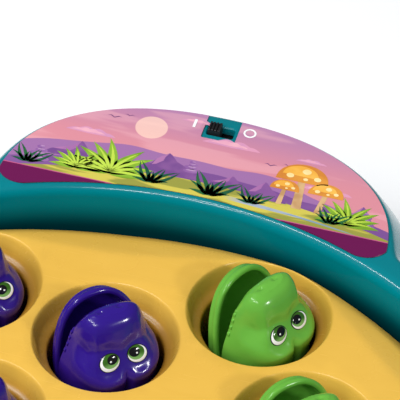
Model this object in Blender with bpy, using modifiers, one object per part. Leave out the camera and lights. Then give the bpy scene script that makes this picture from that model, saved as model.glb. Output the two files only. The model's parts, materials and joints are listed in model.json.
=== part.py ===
"""Dinosaur fishing game: a motor turns a disc of 21 pockets, and the heads in them snap their jaws.

Z is up. The origin is on the turntable's axis, in the plane that the game stands on, and the
panel with the print and the switch is at +Y. All lengths are in metres.
"""

import math

import bmesh
import bpy
from mathutils import Matrix, Vector

MM = 0.001

# Clearances
SEAT_GAP = 0.3 * MM
RUN_GAP = 0.3 * MM
CUT_OVERRUN = 2.0 * MM

# Base tray
BASE_THICK = 3.6 * MM
BASE_RECESS = 1.0 * MM
BASE_LIP_HIGH = 5.0 * MM
BASE_LIP_WALL = 1.6 * MM
CENTRE_PAD_R = 14.0 * MM
STAND_RING_WIDE = 10.1 * MM
THRUST_BOSS_R = 8.0 * MM
THRUST_BOSS_TOP = 12.0 * MM
SPINDLE_R = 5.0 * MM
SPINDLE_SHORT_OF_DISC = 1.0 * MM
SPINDLE_PILOT_R = 1.8 * MM
SPINDLE_PILOT_DEEP = 16.0 * MM

# Turning disc and its pockets
DISC_R = 103.4 * MM
DISC_TOP = 38.0 * MM
DISC_THICK = 6.3 * MM
DISC_EDGE_ROUND = 3.2 * MM
SKIRT_WALL = 2.4 * MM
POCKET_R = 13.8 * MM
POCKET_RIM_R = 17.5 * MM
POCKET_RIM_DEEP = 5.5 * MM
SLEEVE_WALL = 1.5 * MM
SLEEVE_BOTTOM = 14.0 * MM
GRID_STEP = math.radians(24)
FIRST_POCKET = math.radians(-32.5)
RIM_PAST_EDGE = 0.1 * MM
THIRDS = 3
POCKET_SIDES = 12
OUTER_POCKETS_R = DISC_R + RIM_PAST_EDGE - POCKET_RIM_R
MIDDLE_POCKETS_R = OUTER_POCKETS_R * 0.758
INNER_POCKETS_R = OUTER_POCKETS_R * 0.530
CENTRE_POCKETS_R = OUTER_POCKETS_R * 0.291

# Each ring of pockets: its radius, its places on the grid in one third of the disc, and the way
# that each dinosaur faces, in degrees from -Y towards +X, as the last players left them.
POCKET_RINGS = (
    (OUTER_POCKETS_R, (0, 2, 4), (55, 62, 49, 58, 66, 52, 60, 47, 56)),
    (MIDDLE_POCKETS_R, (1, 3), (48, 45, 63, 54, 59, 50)),
    (INNER_POCKETS_R, (4.5,), (61, 51, 55)),
    (CENTRE_POCKETS_R, (2,), (46, 57, 64)),
)

# Wave tracks under the dinosaurs
TRACK_CREST = 9.0 * MM
TRACK_TROUGH = 5.0 * MM
TRACK_WIDTH = 11.0 * MM
CREST_HALF = 6.5 * MM
RAMP_LONG = 5.0 * MM
TROUGH_STEP = math.radians(20)
SPOKE_WIDTH = 6.0 * MM
SPOKE_HIGH = 1.2 * MM
SPOKE_TURN = math.radians(20)

# Dinosaur heads
HEAD_HIGH = 39.7 * MM
HEAD_R = 12.0 * MM
COLLAR_R = 13.1 * MM
FOOT_R = 5.5 * MM
LEDGE_HIGH = 13.7 * MM
LEDGE_STEP = 0.3 * MM
LEDGE_SHARE = 0.985
PALATE_BACK = 1.2 * MM
HEAD_SIDES = 10
JAW_WALL = 1.5 * MM
JAW_HIGH = 25.0 * MM
JAW_DEEP = 8.5 * MM
JAW_OPEN = math.radians(13)
JAW_SHAPE_POWER = 2.3
JAW_SIDES = 8

# Sections of the face, from the ledge to the tip of the snout: the share of the head's height,
# the share of its radius across and the share of its radius towards the front.
FACE_SHARES = (
    (0.650, 1.02, 1.00),
    (0.765, 0.95, 0.78),
    (0.885, 0.74, 0.42),
    (0.970, 0.53, 0.14),
    (1.000, 0.30, -0.02),
)

# Housing: a ring with a wide lobe at +Y that carries the panel
HOUSING_RISE = 9.0 * MM
HOUSING_WALL = 2.2 * MM
WELL_GAP = 2.1 * MM
WELL_ROUND = 3.0 * MM
TOP_FLAT = 4.6 * MM
WELL_WALL_DEEP = 18.0 * MM
EDGE_ROUND = 0.8 * MM
SHOULDER_WIDE = 6.2 * MM
SHOULDER_HIGH = 9.8 * MM
SHOULDER_SET_IN = 1.0 * MM
DRAFT = 1.5 * MM
LOBE_SET_IN = 13.1 * MM
LOBE_HALF_X = 49.3 * MM
LOBE_HALF_Y = 37.3 * MM
LOBE_POWER = 2.25
LOBE_BLEND_POWER = 40
LOBE_TURN = math.radians(32)
LOBE_STEPS = 16
RING_STEPS = 29
BOSS_R = 2.5 * MM
BOSS_SET_IN = 1.2 * MM
BOSS_TOP_DROP = 1.8 * MM
BOSS_COUNT = 6
BOSS_FIRST = math.radians(35)
PILOT_R = 1.3 * MM
PILOT_DEEP = 9.0 * MM

# Printed panel
PANEL_THICK = 0.2 * MM
PANEL_MARGIN = 0.4 * MM
PANEL_FROM_WELL = 2.0 * MM
PANEL_CORNER = 6.0 * MM
PANEL_STEPS = 22
PANEL_LIFT = 0.1 * MM

# Switch
SWITCH_FROM_REAR = 5.3 * MM
SWITCH_CUT_X = 8.8 * MM
SWITCH_CUT_Y = 7.2 * MM
SWITCH_SLOT_X = 6.9 * MM
SWITCH_SLOT_Y = 3.6 * MM
KNOB = 3.2 * MM
KNOB_PROUD = 1.6 * MM
KNOB_GROOVE = 0.5 * MM
SWITCH_CASE_X = 17.0 * MM
SWITCH_CASE_Y = 7.0 * MM
SWITCH_CASE_HIGH = 7.0 * MM
SWITCH_CASE_WALL = 1.0 * MM
CARRIAGE_HIGH = 1.2 * MM

# Gears
RING_TEETH = 54
PINION_TEETH = 7
RING_PITCH_OUT = 2.8 * MM
RING_LAP = 1.6 * MM
ADDENDUM = 2.5 * MM
DEDENDUM = 2.9 * MM
TOOTH_ROOT_SHARE = 0.60
TOOTH_TIP_SHARE = 0.22
PINION_ROOT_SHARE = 0.62
PINION_TIP_SHARE = 0.20
GEAR_LOW = 13.0 * MM
GEAR_THICK = 6.5 * MM
PINION_SHAFT_R = 2.0 * MM
PINION_BEARING_R = 4.0 * MM
DRIVE_TURN = math.radians(14.5)

# Gear case and motor
GEAR_CASE_LEFT = 14.0 * MM
GEAR_CASE_RIGHT = 12.0 * MM
GEAR_CASE_FROM_WELL = 2.8 * MM
GEAR_CASE_DEEP = 16.5 * MM
GEAR_CASE_THICK = 5.0 * MM
EAR_HALF = 2.9 * MM
EAR_THICK = 2.0 * MM
HANGER_R = 2.3 * MM
HANGER_OUTS = ((-17.0 * MM, 17.1 * MM), (14.4 * MM, 5.5 * MM))
MOTOR_LONG = 24.0 * MM
MOTOR_WIDE = 20.0 * MM
MOTOR_HIGH = 15.0 * MM
MOTOR_FROM_WELL = 0.7 * MM
MOTOR_NOSE_R = 3.2 * MM
MOTOR_NOSE_LONG = 1.4 * MM

# Batteries, one above the other, and their door
CELL_R = 7.2 * MM
CELL_LONG = 50.0 * MM
CELL_NUB_R = 2.7 * MM
CELL_NUB_LONG = 1.0 * MM
CELL_GAP = 0.4 * MM
BAY_WALL = 1.0 * MM
BAY_TURN = math.radians(-7.6)
BAY_FROM_WELL = 2.7 * MM
CONTACT_THICK = 0.4 * MM
CONTACT_WIDE = 6.0 * MM
DOOR_THICK = 1.8 * MM
DOOR_LAP = 1.5 * MM
DOOR_RECESS = 0.2 * MM
DOOR_TAB = 7.0 * MM

# Screws
SCREW_R = 1.4 * MM
SCREW_HEAD_R = 2.8 * MM
SCREW_SINK = 1.7 * MM
SCREW_SIDES = 8
DOOR_SCREW_LONG = 6.0 * MM
CAP_R = 6.5 * MM
CAP_HIGH = 2.2 * MM
CAP_CROWN_R = 5.2 * MM
CAP_CROWN_DROP = 0.33 * MM
CAP_FLAT_R = 2.0 * MM
CAP_SHANK_R = 1.5 * MM
CAP_SHANK_LONG = 13.0 * MM

# Leads
LEAD_R = 0.6 * MM

HOUSING_TOP = DISC_TOP + HOUSING_RISE
WELL_R = DISC_R + WELL_GAP
WELL_WALL_R = WELL_R + HOUSING_WALL
TOP_EDGE_R = WELL_R + WELL_ROUND + TOP_FLAT
LOBE_CENTRE_Y = TOP_EDGE_R - LOBE_SET_IN
BOSS_PLACE_R = TOP_EDGE_R - BOSS_SET_IN
RECESS_R = TOP_EDGE_R - STAND_RING_WIDE
PANEL_LOW_R = WELL_R + PANEL_FROM_WELL
SWITCH_PLACE_R = LOBE_CENTRE_Y + LOBE_HALF_Y - SWITCH_FROM_REAR
RING_PITCH_R = DISC_R + RING_PITCH_OUT
RING_INNER_R = DISC_R - RING_LAP
GEAR_CASE_IN_R = WELL_WALL_R + GEAR_CASE_FROM_WELL
GEAR_CASE_OUT_R = GEAR_CASE_IN_R + GEAR_CASE_DEEP
MOTOR_IN_R = WELL_WALL_R + MOTOR_FROM_WELL
BAY_IN_R = WELL_WALL_R + BAY_FROM_WELL
WALL_GROW = SHOULDER_WIDE + DRAFT
FOOT_LEVEL = TRACK_CREST + SEAT_GAP
SLEEVE_R = POCKET_R + SLEEVE_WALL
BORE_R = SPINDLE_R + RUN_GAP
BAY_DEEP = 2 * CELL_R + 2 * CELL_GAP
BAY_HALF = CELL_LONG / 2 + CELL_NUB_LONG + CONTACT_THICK + 2 * SEAT_GAP
BAY_MID_R = BAY_IN_R + BAY_DEEP / 2
CELL_LOW = DOOR_RECESS + DOOR_THICK + 2 * SEAT_GAP + CELL_R
CELL_RISE = 2 * CELL_R + CELL_GAP
BAY_TOP = CELL_LOW + CELL_RISE + CELL_R + CELL_GAP
PINION_PITCH_R = RING_PITCH_R * PINION_TEETH / RING_TEETH
GEAR_CENTRE_R = RING_PITCH_R + PINION_PITCH_R
GEAR_TOP = GEAR_LOW + GEAR_THICK
GEAR_CASE_LOW = GEAR_TOP + 2 * SEAT_GAP
GEAR_CASE_TOP = GEAR_CASE_LOW + GEAR_CASE_THICK
HANGER_LOW = GEAR_CASE_TOP + SEAT_GAP
PANEL_LOW = HOUSING_TOP + PANEL_LIFT
SWITCH_CASE_TOP = HOUSING_TOP - HOUSING_WALL - SEAT_GAP

TEAL = (0.0, 0.22, 0.26)
YELLOW = (0.80, 0.50, 0.09)
PURPLE = (0.035, 0.012, 0.27)
GREEN = (0.13, 0.50, 0.06)
PINK = (0.62, 0.30, 0.48)
BLACK = (0.012, 0.012, 0.014)
GREY = (0.42, 0.43, 0.44)
WHITE = (0.75, 0.75, 0.73)
STEEL = (0.55, 0.55, 0.56)
COPPER = (0.70, 0.30, 0.06)
RED = (0.45, 0.02, 0.02)


def collection(name):
    """A new collection in the scene."""
    made = bpy.data.collections.new(name)
    bpy.context.scene.collection.children.link(made)
    return made


def material(name, colour, roughness, metallic=0.0):
    """A Principled material."""
    made = bpy.data.materials.new(name)
    made.use_nodes = True
    shader = made.node_tree.nodes["Principled BSDF"]
    shader.inputs["Base Color"].default_value = (*colour, 1.0)
    shader.inputs["Roughness"].default_value = roughness
    shader.inputs["Metallic"].default_value = metallic
    return made


def add_object(name, mesh, group, finish=None):
    """An object with the mesh, in the group."""
    made = bpy.data.objects.new(name, mesh)
    group.objects.link(made)
    if finish:
        mesh.materials.clear()
        mesh.materials.append(finish)
    return made


def to_mesh(name, shape):
    """A mesh from bmesh data, with its faces pointing out."""
    bmesh.ops.recalc_face_normals(shape, faces=shape.faces)
    mesh = bpy.data.meshes.new(name)
    shape.to_mesh(mesh)
    shape.free()
    return mesh


def as_cutter(made):
    """Mark an object as a guide that is not part of the model."""
    made.hide_render = True
    made.display_type = "WIRE"
    return made


def evaluated_mesh(made):
    """The object's mesh with its modifiers, in world space."""
    graph = bpy.context.evaluated_depsgraph_get()
    mesh = bpy.data.meshes.new_from_object(made.evaluated_get(graph))
    mesh.transform(made.matrix_world)
    return mesh


def boolean(target, other, operation):
    """A Boolean modifier that joins or cuts with another object."""
    change = target.modifiers.new(operation.lower(), "BOOLEAN")
    change.operation = operation
    change.solver = "EXACT"
    change.object = other


def on_arc(turn, radius=0.0, level=0.0):
    """The frame at an angle from +Y towards +X: its Y points outwards from the axis."""
    place = Vector((radius * math.sin(turn), radius * math.cos(turn), level))
    return Matrix.Translation(place) @ Matrix.Rotation(-turn, 4, "Z")


def rings_mesh(name, rings, closed_section=False):
    """A loft through rings of points, capped with a face at each end unless it closes on itself."""
    shape = bmesh.new()
    rows = [[shape.verts.new(point) for point in ring] for ring in rings]
    pairs = list(zip(rows, rows[1:]))
    if closed_section:
        pairs.append((rows[-1], rows[0]))
    for low, high in pairs:
        for i in range(len(low)):
            j = (i + 1) % len(low)
            shape.faces.new((low[i], low[j], high[j], high[i]))
    if not closed_section:
        shape.faces.new(rows[0])
        shape.faces.new(rows[-1])
    return to_mesh(name, shape)


def circle(radius, level, sides):
    """Points round a circle."""
    turns = [2 * math.pi * i / sides - math.pi / 2 for i in range(sides)]
    return [Vector((radius * math.cos(turn), radius * math.sin(turn), level)) for turn in turns]


def turned_mesh(name, profile, sides, hollow=False):
    """A body turned round Z from its (radius, height) profile, on its axis or as a closed tube."""
    rings = [circle(radius, level, sides) for radius, level in profile]
    return rings_mesh(name, rings, closed_section=hollow)


def cylinder(shape, radius, low, high, sides, frame=None):
    """Add a cylinder along Z to bmesh data."""
    place = (frame or Matrix.Identity(4)) @ Matrix.Translation((0, 0, (low + high) / 2))
    bmesh.ops.create_cone(
        shape, cap_ends=True, segments=sides, radius1=radius, radius2=radius, depth=high - low,
        matrix=place,
    )


def box(shape, x_range, y_range, z_range, frame=None):
    """Add a box to bmesh data, with its limits in the frame."""
    lows = Vector((x_range[0], y_range[0], z_range[0]))
    highs = Vector((x_range[1], y_range[1], z_range[1]))
    sizes = Matrix.Diagonal((*(highs - lows), 1.0))
    middle = Matrix.Translation((lows + highs) / 2)
    bmesh.ops.create_cube(shape, size=1.0, matrix=(frame or Matrix.Identity(4)) @ middle @ sizes)


def solids(name, build, group, finish=None):
    """An object made of the primitives that a function adds."""
    shape = bmesh.new()
    build(shape)
    return add_object(name, to_mesh(name, shape), group, finish)


def cutter(name, build):
    """A guide object made of primitives."""
    return as_cutter(solids(name, build, cutters))


def lobe_radius(turn, grow):
    """Distance from the axis to the lobe's rounded outline, or zero where it does not reach."""
    half_x = LOBE_HALF_X + grow
    half_y = LOBE_HALF_Y + grow
    if abs(turn) > math.pi / 3:
        return 0.0
    low, high = LOBE_CENTRE_Y, LOBE_CENTRE_Y + half_x + half_y
    for _ in range(40):
        middle = (low + high) / 2
        across = abs(middle * math.sin(turn)) / half_x
        along = max(middle * math.cos(turn) - LOBE_CENTRE_Y, 0.0) / half_y
        if across ** LOBE_POWER + along ** LOBE_POWER < 1:
            low = middle
        else:
            high = middle
    return low


def housing_radius(turn, grow):
    """The housing's outline: the ring and the lobe with a soft blend between them."""
    ring = TOP_EDGE_R + grow
    lobe = lobe_radius(turn, grow)
    blend = 1 + (lobe / ring) ** LOBE_BLEND_POWER
    return ring * blend ** (1 / LOBE_BLEND_POWER)


def outline_turns():
    """Angles round the outline, closer together along the lobe."""
    lobe = [-LOBE_TURN + 2 * LOBE_TURN * i / LOBE_STEPS for i in range(LOBE_STEPS)]
    rest = 2 * math.pi - 2 * LOBE_TURN
    return lobe + [LOBE_TURN + rest * i / RING_STEPS for i in range(RING_STEPS)]


def outline(grow, level):
    """The housing's outline, grown by a distance, at a height."""
    points = []
    for turn in outline_turns():
        points.append(on_arc(turn, housing_radius(turn, grow), level).translation)
    return points


def well_ring(radius, level):
    """A circle with a point at each of the outline's angles."""
    return [on_arc(turn, radius, level).translation for turn in outline_turns()]


def screw_frames():
    """Where the housing's screws stand."""
    step = 2 * math.pi / BOSS_COUNT
    return [on_arc(BOSS_FIRST + step * i, BOSS_PLACE_R) for i in range(BOSS_COUNT)]


def hanger_frames():
    """Where the two posts that carry the gear case stand."""
    drive = on_arc(DRIVE_TURN)
    return [drive @ Matrix.Translation((x, GEAR_CASE_IN_R + out, 0)) for x, out in HANGER_OUTS]


def pockets():
    """Each pocket's frame, number in its ring and the way that its dinosaur faces."""
    found = []
    for radius, places, faces in POCKET_RINGS:
        count = 0
        for third in range(THIRDS):
            for place in places:
                turn = FIRST_POCKET + GRID_STEP * place + 2 * math.pi * third / THIRDS
                found.append((turn, radius, count, math.radians(faces[count])))
                count += 1
    return found


def make_base():
    """The tray that everything stands in, with the spindle and the battery bay."""
    inside = WALL_GROW - HOUSING_WALL - SEAT_GAP - DRAFT * BASE_LIP_HIGH / DISC_TOP
    lip_top = BASE_THICK + BASE_LIP_HIGH
    rings = [
        outline(WALL_GROW, 0.0),
        outline(WALL_GROW, BASE_THICK),
        outline(inside, BASE_THICK),
        outline(inside, lip_top),
        outline(inside - BASE_LIP_WALL, lip_top),
        outline(inside - BASE_LIP_WALL, BASE_THICK),
    ]
    base = add_object("base_tray", rings_mesh("base_tray", rings), parts, teal)

    spindle_top = DISC_TOP - SPINDLE_SHORT_OF_DISC
    profile = [
        (THRUST_BOSS_R, BASE_THICK / 2),
        (THRUST_BOSS_R, THRUST_BOSS_TOP),
        (SPINDLE_R, THRUST_BOSS_TOP),
        (SPINDLE_R, spindle_top),
    ]
    spindle = as_cutter(add_object("spindle_post", turned_mesh("spindle_post", profile, 16), cutters))
    boolean(base, spindle, "UNION")

    bay = on_arc(BAY_TURN)
    wall_half = BAY_HALF + BAY_WALL
    wall_low, wall_high = BAY_IN_R - BAY_WALL, BAY_IN_R + BAY_DEEP + BAY_WALL
    drive = on_arc(DRIVE_TURN, GEAR_CENTRE_R)

    def posts(shape):
        z_range = (BASE_THICK / 2, BAY_TOP + BAY_WALL)
        box(shape, (-wall_half, wall_half), (wall_low, wall_high), z_range, bay)
        cylinder(shape, PINION_BEARING_R, BASE_THICK / 2, GEAR_LOW - SEAT_GAP, 12, drive)

    boolean(base, cutter("bay_walls", posts), "UNION")

    def cuts(shape):
        box(shape, (-BAY_HALF, BAY_HALF), (BAY_IN_R, BAY_IN_R + BAY_DEEP), (-CUT_OVERRUN, BAY_TOP), bay)

    boolean(base, cutter("bay_room", cuts), "DIFFERENCE")

    def recesses(shape):
        x_range = (-BAY_HALF - DOOR_LAP, BAY_HALF + DOOR_LAP + DOOR_TAB)
        y_range = (BAY_IN_R - DOOR_LAP, BAY_IN_R + BAY_DEEP + DOOR_LAP)
        box(shape, x_range, y_range, (-CUT_OVERRUN, DOOR_RECESS + DOOR_THICK + SEAT_GAP), bay)
        head_r = SCREW_HEAD_R + RUN_GAP
        for frame in screw_frames():
            cylinder(shape, head_r, -CUT_OVERRUN, SCREW_SINK + SEAT_GAP, SCREW_SIDES, frame)

    boolean(base, cutter("door_recess", recesses), "DIFFERENCE")

    def holes(shape):
        high = BASE_THICK + CUT_OVERRUN
        for frame in screw_frames() + [door_screw_frame()]:
            cylinder(shape, SCREW_R + RUN_GAP, -CUT_OVERRUN, high, SCREW_SIDES, frame)
        cylinder(
            shape, SPINDLE_PILOT_R, spindle_top - SPINDLE_PILOT_DEEP, spindle_top + CUT_OVERRUN,
            SCREW_SIDES,
        )
        cylinder(shape, PINION_SHAFT_R + RUN_GAP, BASE_THICK, GEAR_LOW + CUT_OVERRUN, 12, drive)

    boolean(base, cutter("base_holes", holes), "DIFFERENCE")

    profile = [
        (CENTRE_PAD_R, -CUT_OVERRUN),
        (RECESS_R, -CUT_OVERRUN),
        (RECESS_R, BASE_RECESS),
        (CENTRE_PAD_R, BASE_RECESS),
    ]
    recess = turned_mesh("base_recess", profile, 32, hollow=True)
    boolean(base, as_cutter(add_object("base_recess", recess, cutters)), "DIFFERENCE")


def door_screw_frame():
    """Where the battery door's screw stands."""
    return on_arc(BAY_TURN) @ Matrix.Translation((BAY_HALF + DOOR_LAP + DOOR_TAB / 2, BAY_MID_R, 0))


def make_housing():
    """The upper shell: outer wall, soft shoulder, flat top, and the wall of the well."""
    low = BASE_THICK + SEAT_GAP
    well_top_r = WELL_R + WELL_ROUND
    half_chord = math.sin(math.radians(45))
    half_drop = 1 - math.cos(math.radians(45))
    under = HOUSING_TOP - HOUSING_WALL
    rings = [
        outline(WALL_GROW, low),
        outline(SHOULDER_WIDE, HOUSING_TOP - SHOULDER_HIGH),
        outline(EDGE_ROUND, HOUSING_TOP - EDGE_ROUND),
        outline(0.0, HOUSING_TOP),
        well_ring(well_top_r, HOUSING_TOP),
        well_ring(well_top_r - WELL_ROUND * half_chord, HOUSING_TOP - WELL_ROUND * half_drop),
        well_ring(WELL_R, HOUSING_TOP - WELL_ROUND),
        well_ring(WELL_R, HOUSING_TOP - WELL_WALL_DEEP - WELL_ROUND),
        well_ring(WELL_R + HOUSING_WALL, HOUSING_TOP - WELL_WALL_DEEP - WELL_ROUND),
        well_ring(WELL_R + HOUSING_WALL, under),
        outline(-SHOULDER_SET_IN, under),
        outline(SHOULDER_WIDE - HOUSING_WALL, HOUSING_TOP - SHOULDER_HIGH - SHOULDER_SET_IN),
        outline(WALL_GROW - HOUSING_WALL, low),
    ]
    mesh = rings_mesh("upper_housing", rings, closed_section=True)
    housing = add_object("upper_housing", mesh, parts, teal)

    def bosses(shape):
        for frame in screw_frames():
            cylinder(shape, BOSS_R, BASE_THICK + SEAT_GAP, HOUSING_TOP - BOSS_TOP_DROP, 8, frame)
        for frame in hanger_frames():
            cylinder(shape, HANGER_R, HANGER_LOW, HOUSING_TOP - HOUSING_WALL / 2, 8, frame)

    boolean(housing, cutter("housing_bosses", bosses), "UNION")

    def holes(shape):
        for frame in screw_frames():
            cylinder(shape, SCREW_R + RUN_GAP, -CUT_OVERRUN, BASE_THICK + PILOT_DEEP, 8, frame)
        for frame in hanger_frames():
            cylinder(shape, PILOT_R, HANGER_LOW - CUT_OVERRUN, HANGER_LOW + PILOT_DEEP, 8, frame)
        slot_x, slot_y = SWITCH_SLOT_X / 2, SWITCH_SLOT_Y / 2
        y_range = (SWITCH_PLACE_R - slot_y, SWITCH_PLACE_R + slot_y)
        box(shape, (-slot_x, slot_x), y_range, (under - CUT_OVERRUN, HOUSING_TOP + CUT_OVERRUN))

    boolean(housing, cutter("housing_holes", holes), "DIFFERENCE")


def make_tracks():
    """Wave tracks that lift and drop the dinosaurs, one ring of humps under each ring of pockets."""
    shape = bmesh.new()
    floor = BASE_THICK + SEAT_GAP
    reach = TRACK_WIDTH / 2
    for radius, places, _ in POCKET_RINGS:
        steps = []
        for third in range(THIRDS):
            for place in places:
                crest = FIRST_POCKET + GRID_STEP * place + 2 * math.pi * third / THIRDS
                for along, level in (
                    (-CREST_HALF - RAMP_LONG, TRACK_TROUGH),
                    (-CREST_HALF, TRACK_CREST),
                    (CREST_HALF, TRACK_CREST),
                    (CREST_HALF + RAMP_LONG, TRACK_TROUGH),
                ):
                    steps.append((crest + along / radius, level))
        rows = []
        for turn, level in with_trough_points(steps):
            corners = (
                (radius - reach, floor),
                (radius + reach, floor),
                (radius + reach, level),
                (radius - reach, level),
            )
            rows.append([shape.verts.new(on_arc(turn, r, z).translation) for r, z in corners])
        for row, following in zip(rows, rows[1:] + rows[:1]):
            for i in range(4):
                j = (i + 1) % 4
                shape.faces.new((row[i], row[j], following[j], following[i]))
    tracks = add_object("cam_tracks", to_mesh("cam_tracks", shape), parts, grey)

    def spokes(shape):
        for third in range(THIRDS):
            frame = on_arc(SPOKE_TURN + 2 * math.pi * third / THIRDS)
            x_range = (-SPOKE_WIDTH / 2, SPOKE_WIDTH / 2)
            y_range = (CENTRE_POCKETS_R, OUTER_POCKETS_R)
            box(shape, x_range, y_range, (floor, floor + SPOKE_HIGH), frame)

    boolean(tracks, cutter("track_spokes", spokes), "UNION")


def with_trough_points(steps):
    """Add points between two humps that stand far apart, so that the trough stays round."""
    filled = []
    turns = steps + [(steps[0][0] + 2 * math.pi, steps[0][1])]
    for (turn, level), (following, _) in zip(turns, turns[1:]):
        filled.append((turn, level))
        pieces = int((following - turn) / TROUGH_STEP)
        for i in range(1, pieces + 1):
            filled.append((turn + (following - turn) * i / (pieces + 1), level))
    return filled


def make_turntable():
    """The yellow disc with its pockets, each a funnel over a sleeve, and the hub in the middle."""
    slab_low = DISC_TOP - DISC_THICK
    skirt_low = GEAR_TOP + SEAT_GAP
    half_drop = 1 - math.cos(math.radians(45))
    profile = [
        (THRUST_BOSS_R, slab_low),
        (DISC_R - SKIRT_WALL, slab_low),
        (DISC_R - SKIRT_WALL, skirt_low),
        (DISC_R, skirt_low),
        (DISC_R, DISC_TOP - DISC_EDGE_ROUND),
        (DISC_R - DISC_EDGE_ROUND * half_drop, DISC_TOP - DISC_EDGE_ROUND * half_drop),
        (DISC_R - DISC_EDGE_ROUND, DISC_TOP),
        (BORE_R, DISC_TOP),
        (BORE_R, THRUST_BOSS_TOP + SEAT_GAP),
        (THRUST_BOSS_R, THRUST_BOSS_TOP + SEAT_GAP),
    ]
    disc = turned_mesh("turntable", profile, 48, hollow=True)
    turntable = add_object("turntable", disc, parts, yellow)

    def sleeves(shape):
        high = DISC_TOP - DISC_THICK / 2
        for turn, radius, _, _ in pockets():
            cylinder(shape, SLEEVE_R, SLEEVE_BOTTOM, high, POCKET_SIDES, on_arc(turn, radius))

    boolean(turntable, cutter("sleeves", sleeves), "UNION")

    profile = [
        (POCKET_R, SLEEVE_BOTTOM - CUT_OVERRUN),
        (POCKET_R, DISC_TOP - POCKET_RIM_DEEP),
        (POCKET_RIM_R, DISC_TOP),
        (POCKET_RIM_R, DISC_TOP + CUT_OVERRUN),
    ]
    pocket = turned_mesh("pocket_cut", profile, POCKET_SIDES)
    shape = bmesh.new()
    for turn, radius, _, _ in pockets():
        one = pocket.copy()
        one.transform(on_arc(turn, radius))
        shape.from_mesh(one)
        bpy.data.meshes.remove(one)
    cuts = as_cutter(add_object("pocket_cuts", to_mesh("pocket_cuts", shape), cutters))
    boolean(turntable, cuts, "DIFFERENCE")
    bpy.data.meshes.remove(pocket)


def gear_outline(teeth, pitch_r, root_share, tip_share, phase):
    """Points round a gear, each tooth with straight flanks, with a tooth's middle at the phase."""
    points = []
    step = 2 * math.pi / teeth
    for tooth in range(teeth):
        middle = phase + step * tooth
        for radius, share in (
            (pitch_r - DEDENDUM, -root_share), (pitch_r + ADDENDUM, -tip_share),
            (pitch_r + ADDENDUM, tip_share), (pitch_r - DEDENDUM, root_share),
        ):
            turn = middle + share * step / 2
            points.append(on_arc(turn, radius).translation)
    return points


def at_level(points, level):
    """The same points at a height."""
    return [Vector((point.x, point.y, level)) for point in points]


def make_ring_gear():
    """The toothed ring clipped under the disc's rim."""
    teeth = gear_outline(RING_TEETH, RING_PITCH_R, TOOTH_ROOT_SHARE, TOOTH_TIP_SHARE, DRIVE_TURN)
    mesh = rings_mesh("ring_gear", [at_level(teeth, GEAR_LOW), at_level(teeth, GEAR_TOP)])
    gear = add_object("ring_gear", mesh, parts, yellow)

    def opening(shape):
        cylinder(shape, RING_INNER_R, GEAR_LOW - CUT_OVERRUN, GEAR_TOP + CUT_OVERRUN, RING_TEETH)

    boolean(gear, cutter("gear_opening", opening), "DIFFERENCE")


def make_pinion():
    """The small gear on the gear case's output shaft, in mesh with the ring."""
    phase = math.pi + math.pi / PINION_TEETH
    teeth = gear_outline(PINION_TEETH, PINION_PITCH_R, PINION_ROOT_SHARE, PINION_TIP_SHARE, phase)
    mesh = rings_mesh("drive_pinion", [at_level(teeth, 0.0), at_level(teeth, GEAR_THICK)])
    pinion = add_object("drive_pinion", mesh, parts, white)
    pinion.matrix_world = on_arc(DRIVE_TURN, GEAR_CENTRE_R, GEAR_LOW)

    def shaft(shape):
        low, high = BASE_THICK + SEAT_GAP, GEAR_CASE_LOW - SEAT_GAP / 2
        cylinder(shape, PINION_SHAFT_R, low, high, 10, on_arc(DRIVE_TURN, GEAR_CENTRE_R))

    boolean(pinion, cutter("pinion_shaft", shaft), "UNION")


def make_drive():
    """The closed gear case on the housing's two posts, and the motor on top of it."""
    drive = on_arc(DRIVE_TURN)

    def case(shape):
        box(
            shape, (-GEAR_CASE_LEFT, GEAR_CASE_RIGHT), (GEAR_CASE_IN_R, GEAR_CASE_OUT_R),
            (GEAR_CASE_LOW, GEAR_CASE_TOP), drive,
        )

    gear_case = solids("gear_case", case, parts, white)

    def ears(shape):
        for x, out in HANGER_OUTS:
            y = GEAR_CASE_IN_R + out
            x_range = sorted((0.0, x + math.copysign(EAR_HALF, x)))
            z_range = (GEAR_CASE_TOP - EAR_THICK, GEAR_CASE_TOP - SEAT_GAP / 2)
            box(shape, x_range, (y - EAR_HALF, y + EAR_HALF), z_range, drive)

    boolean(gear_case, cutter("case_ears", ears), "UNION")

    def holes(shape):
        for frame in hanger_frames():
            cylinder(
                shape, SCREW_R + RUN_GAP / 2, GEAR_CASE_TOP - EAR_THICK - CUT_OVERRUN,
                GEAR_CASE_TOP + CUT_OVERRUN, SCREW_SIDES, frame,
            )

    boolean(gear_case, cutter("ear_holes", holes), "DIFFERENCE")

    # The motor's can is a cylinder with two flats, and it lies along the panel.
    motor_end = Vector((
        -GEAR_CASE_LEFT + SEAT_GAP, MOTOR_IN_R + MOTOR_WIDE / 2,
        GEAR_CASE_TOP + SEAT_GAP + MOTOR_HIGH / 2,
    ))
    middle = drive @ Matrix.Translation(motor_end)
    half_flat = math.asin(MOTOR_HIGH / MOTOR_WIDE)
    round_steps = 6
    section = []
    for side in (0.0, math.pi):
        for i in range(round_steps + 1):
            turn = side - half_flat + 2 * half_flat * i / round_steps
            section.append((math.cos(turn) * MOTOR_WIDE / 2, math.sin(turn) * MOTOR_WIDE / 2))
    rings = [[middle @ Vector((x, y, z)) for y, z in section] for x in (MOTOR_NOSE_LONG, MOTOR_LONG)]
    motor = add_object("motor", rings_mesh("motor", rings), parts, steel)

    def nose(shape):
        frame = middle @ Matrix.Rotation(math.pi / 2, 4, "Y")
        cylinder(shape, MOTOR_NOSE_R, 0.0, MOTOR_LONG / 2, 10, frame)

    boolean(motor, cutter("motor_nose", nose), "UNION")


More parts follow.
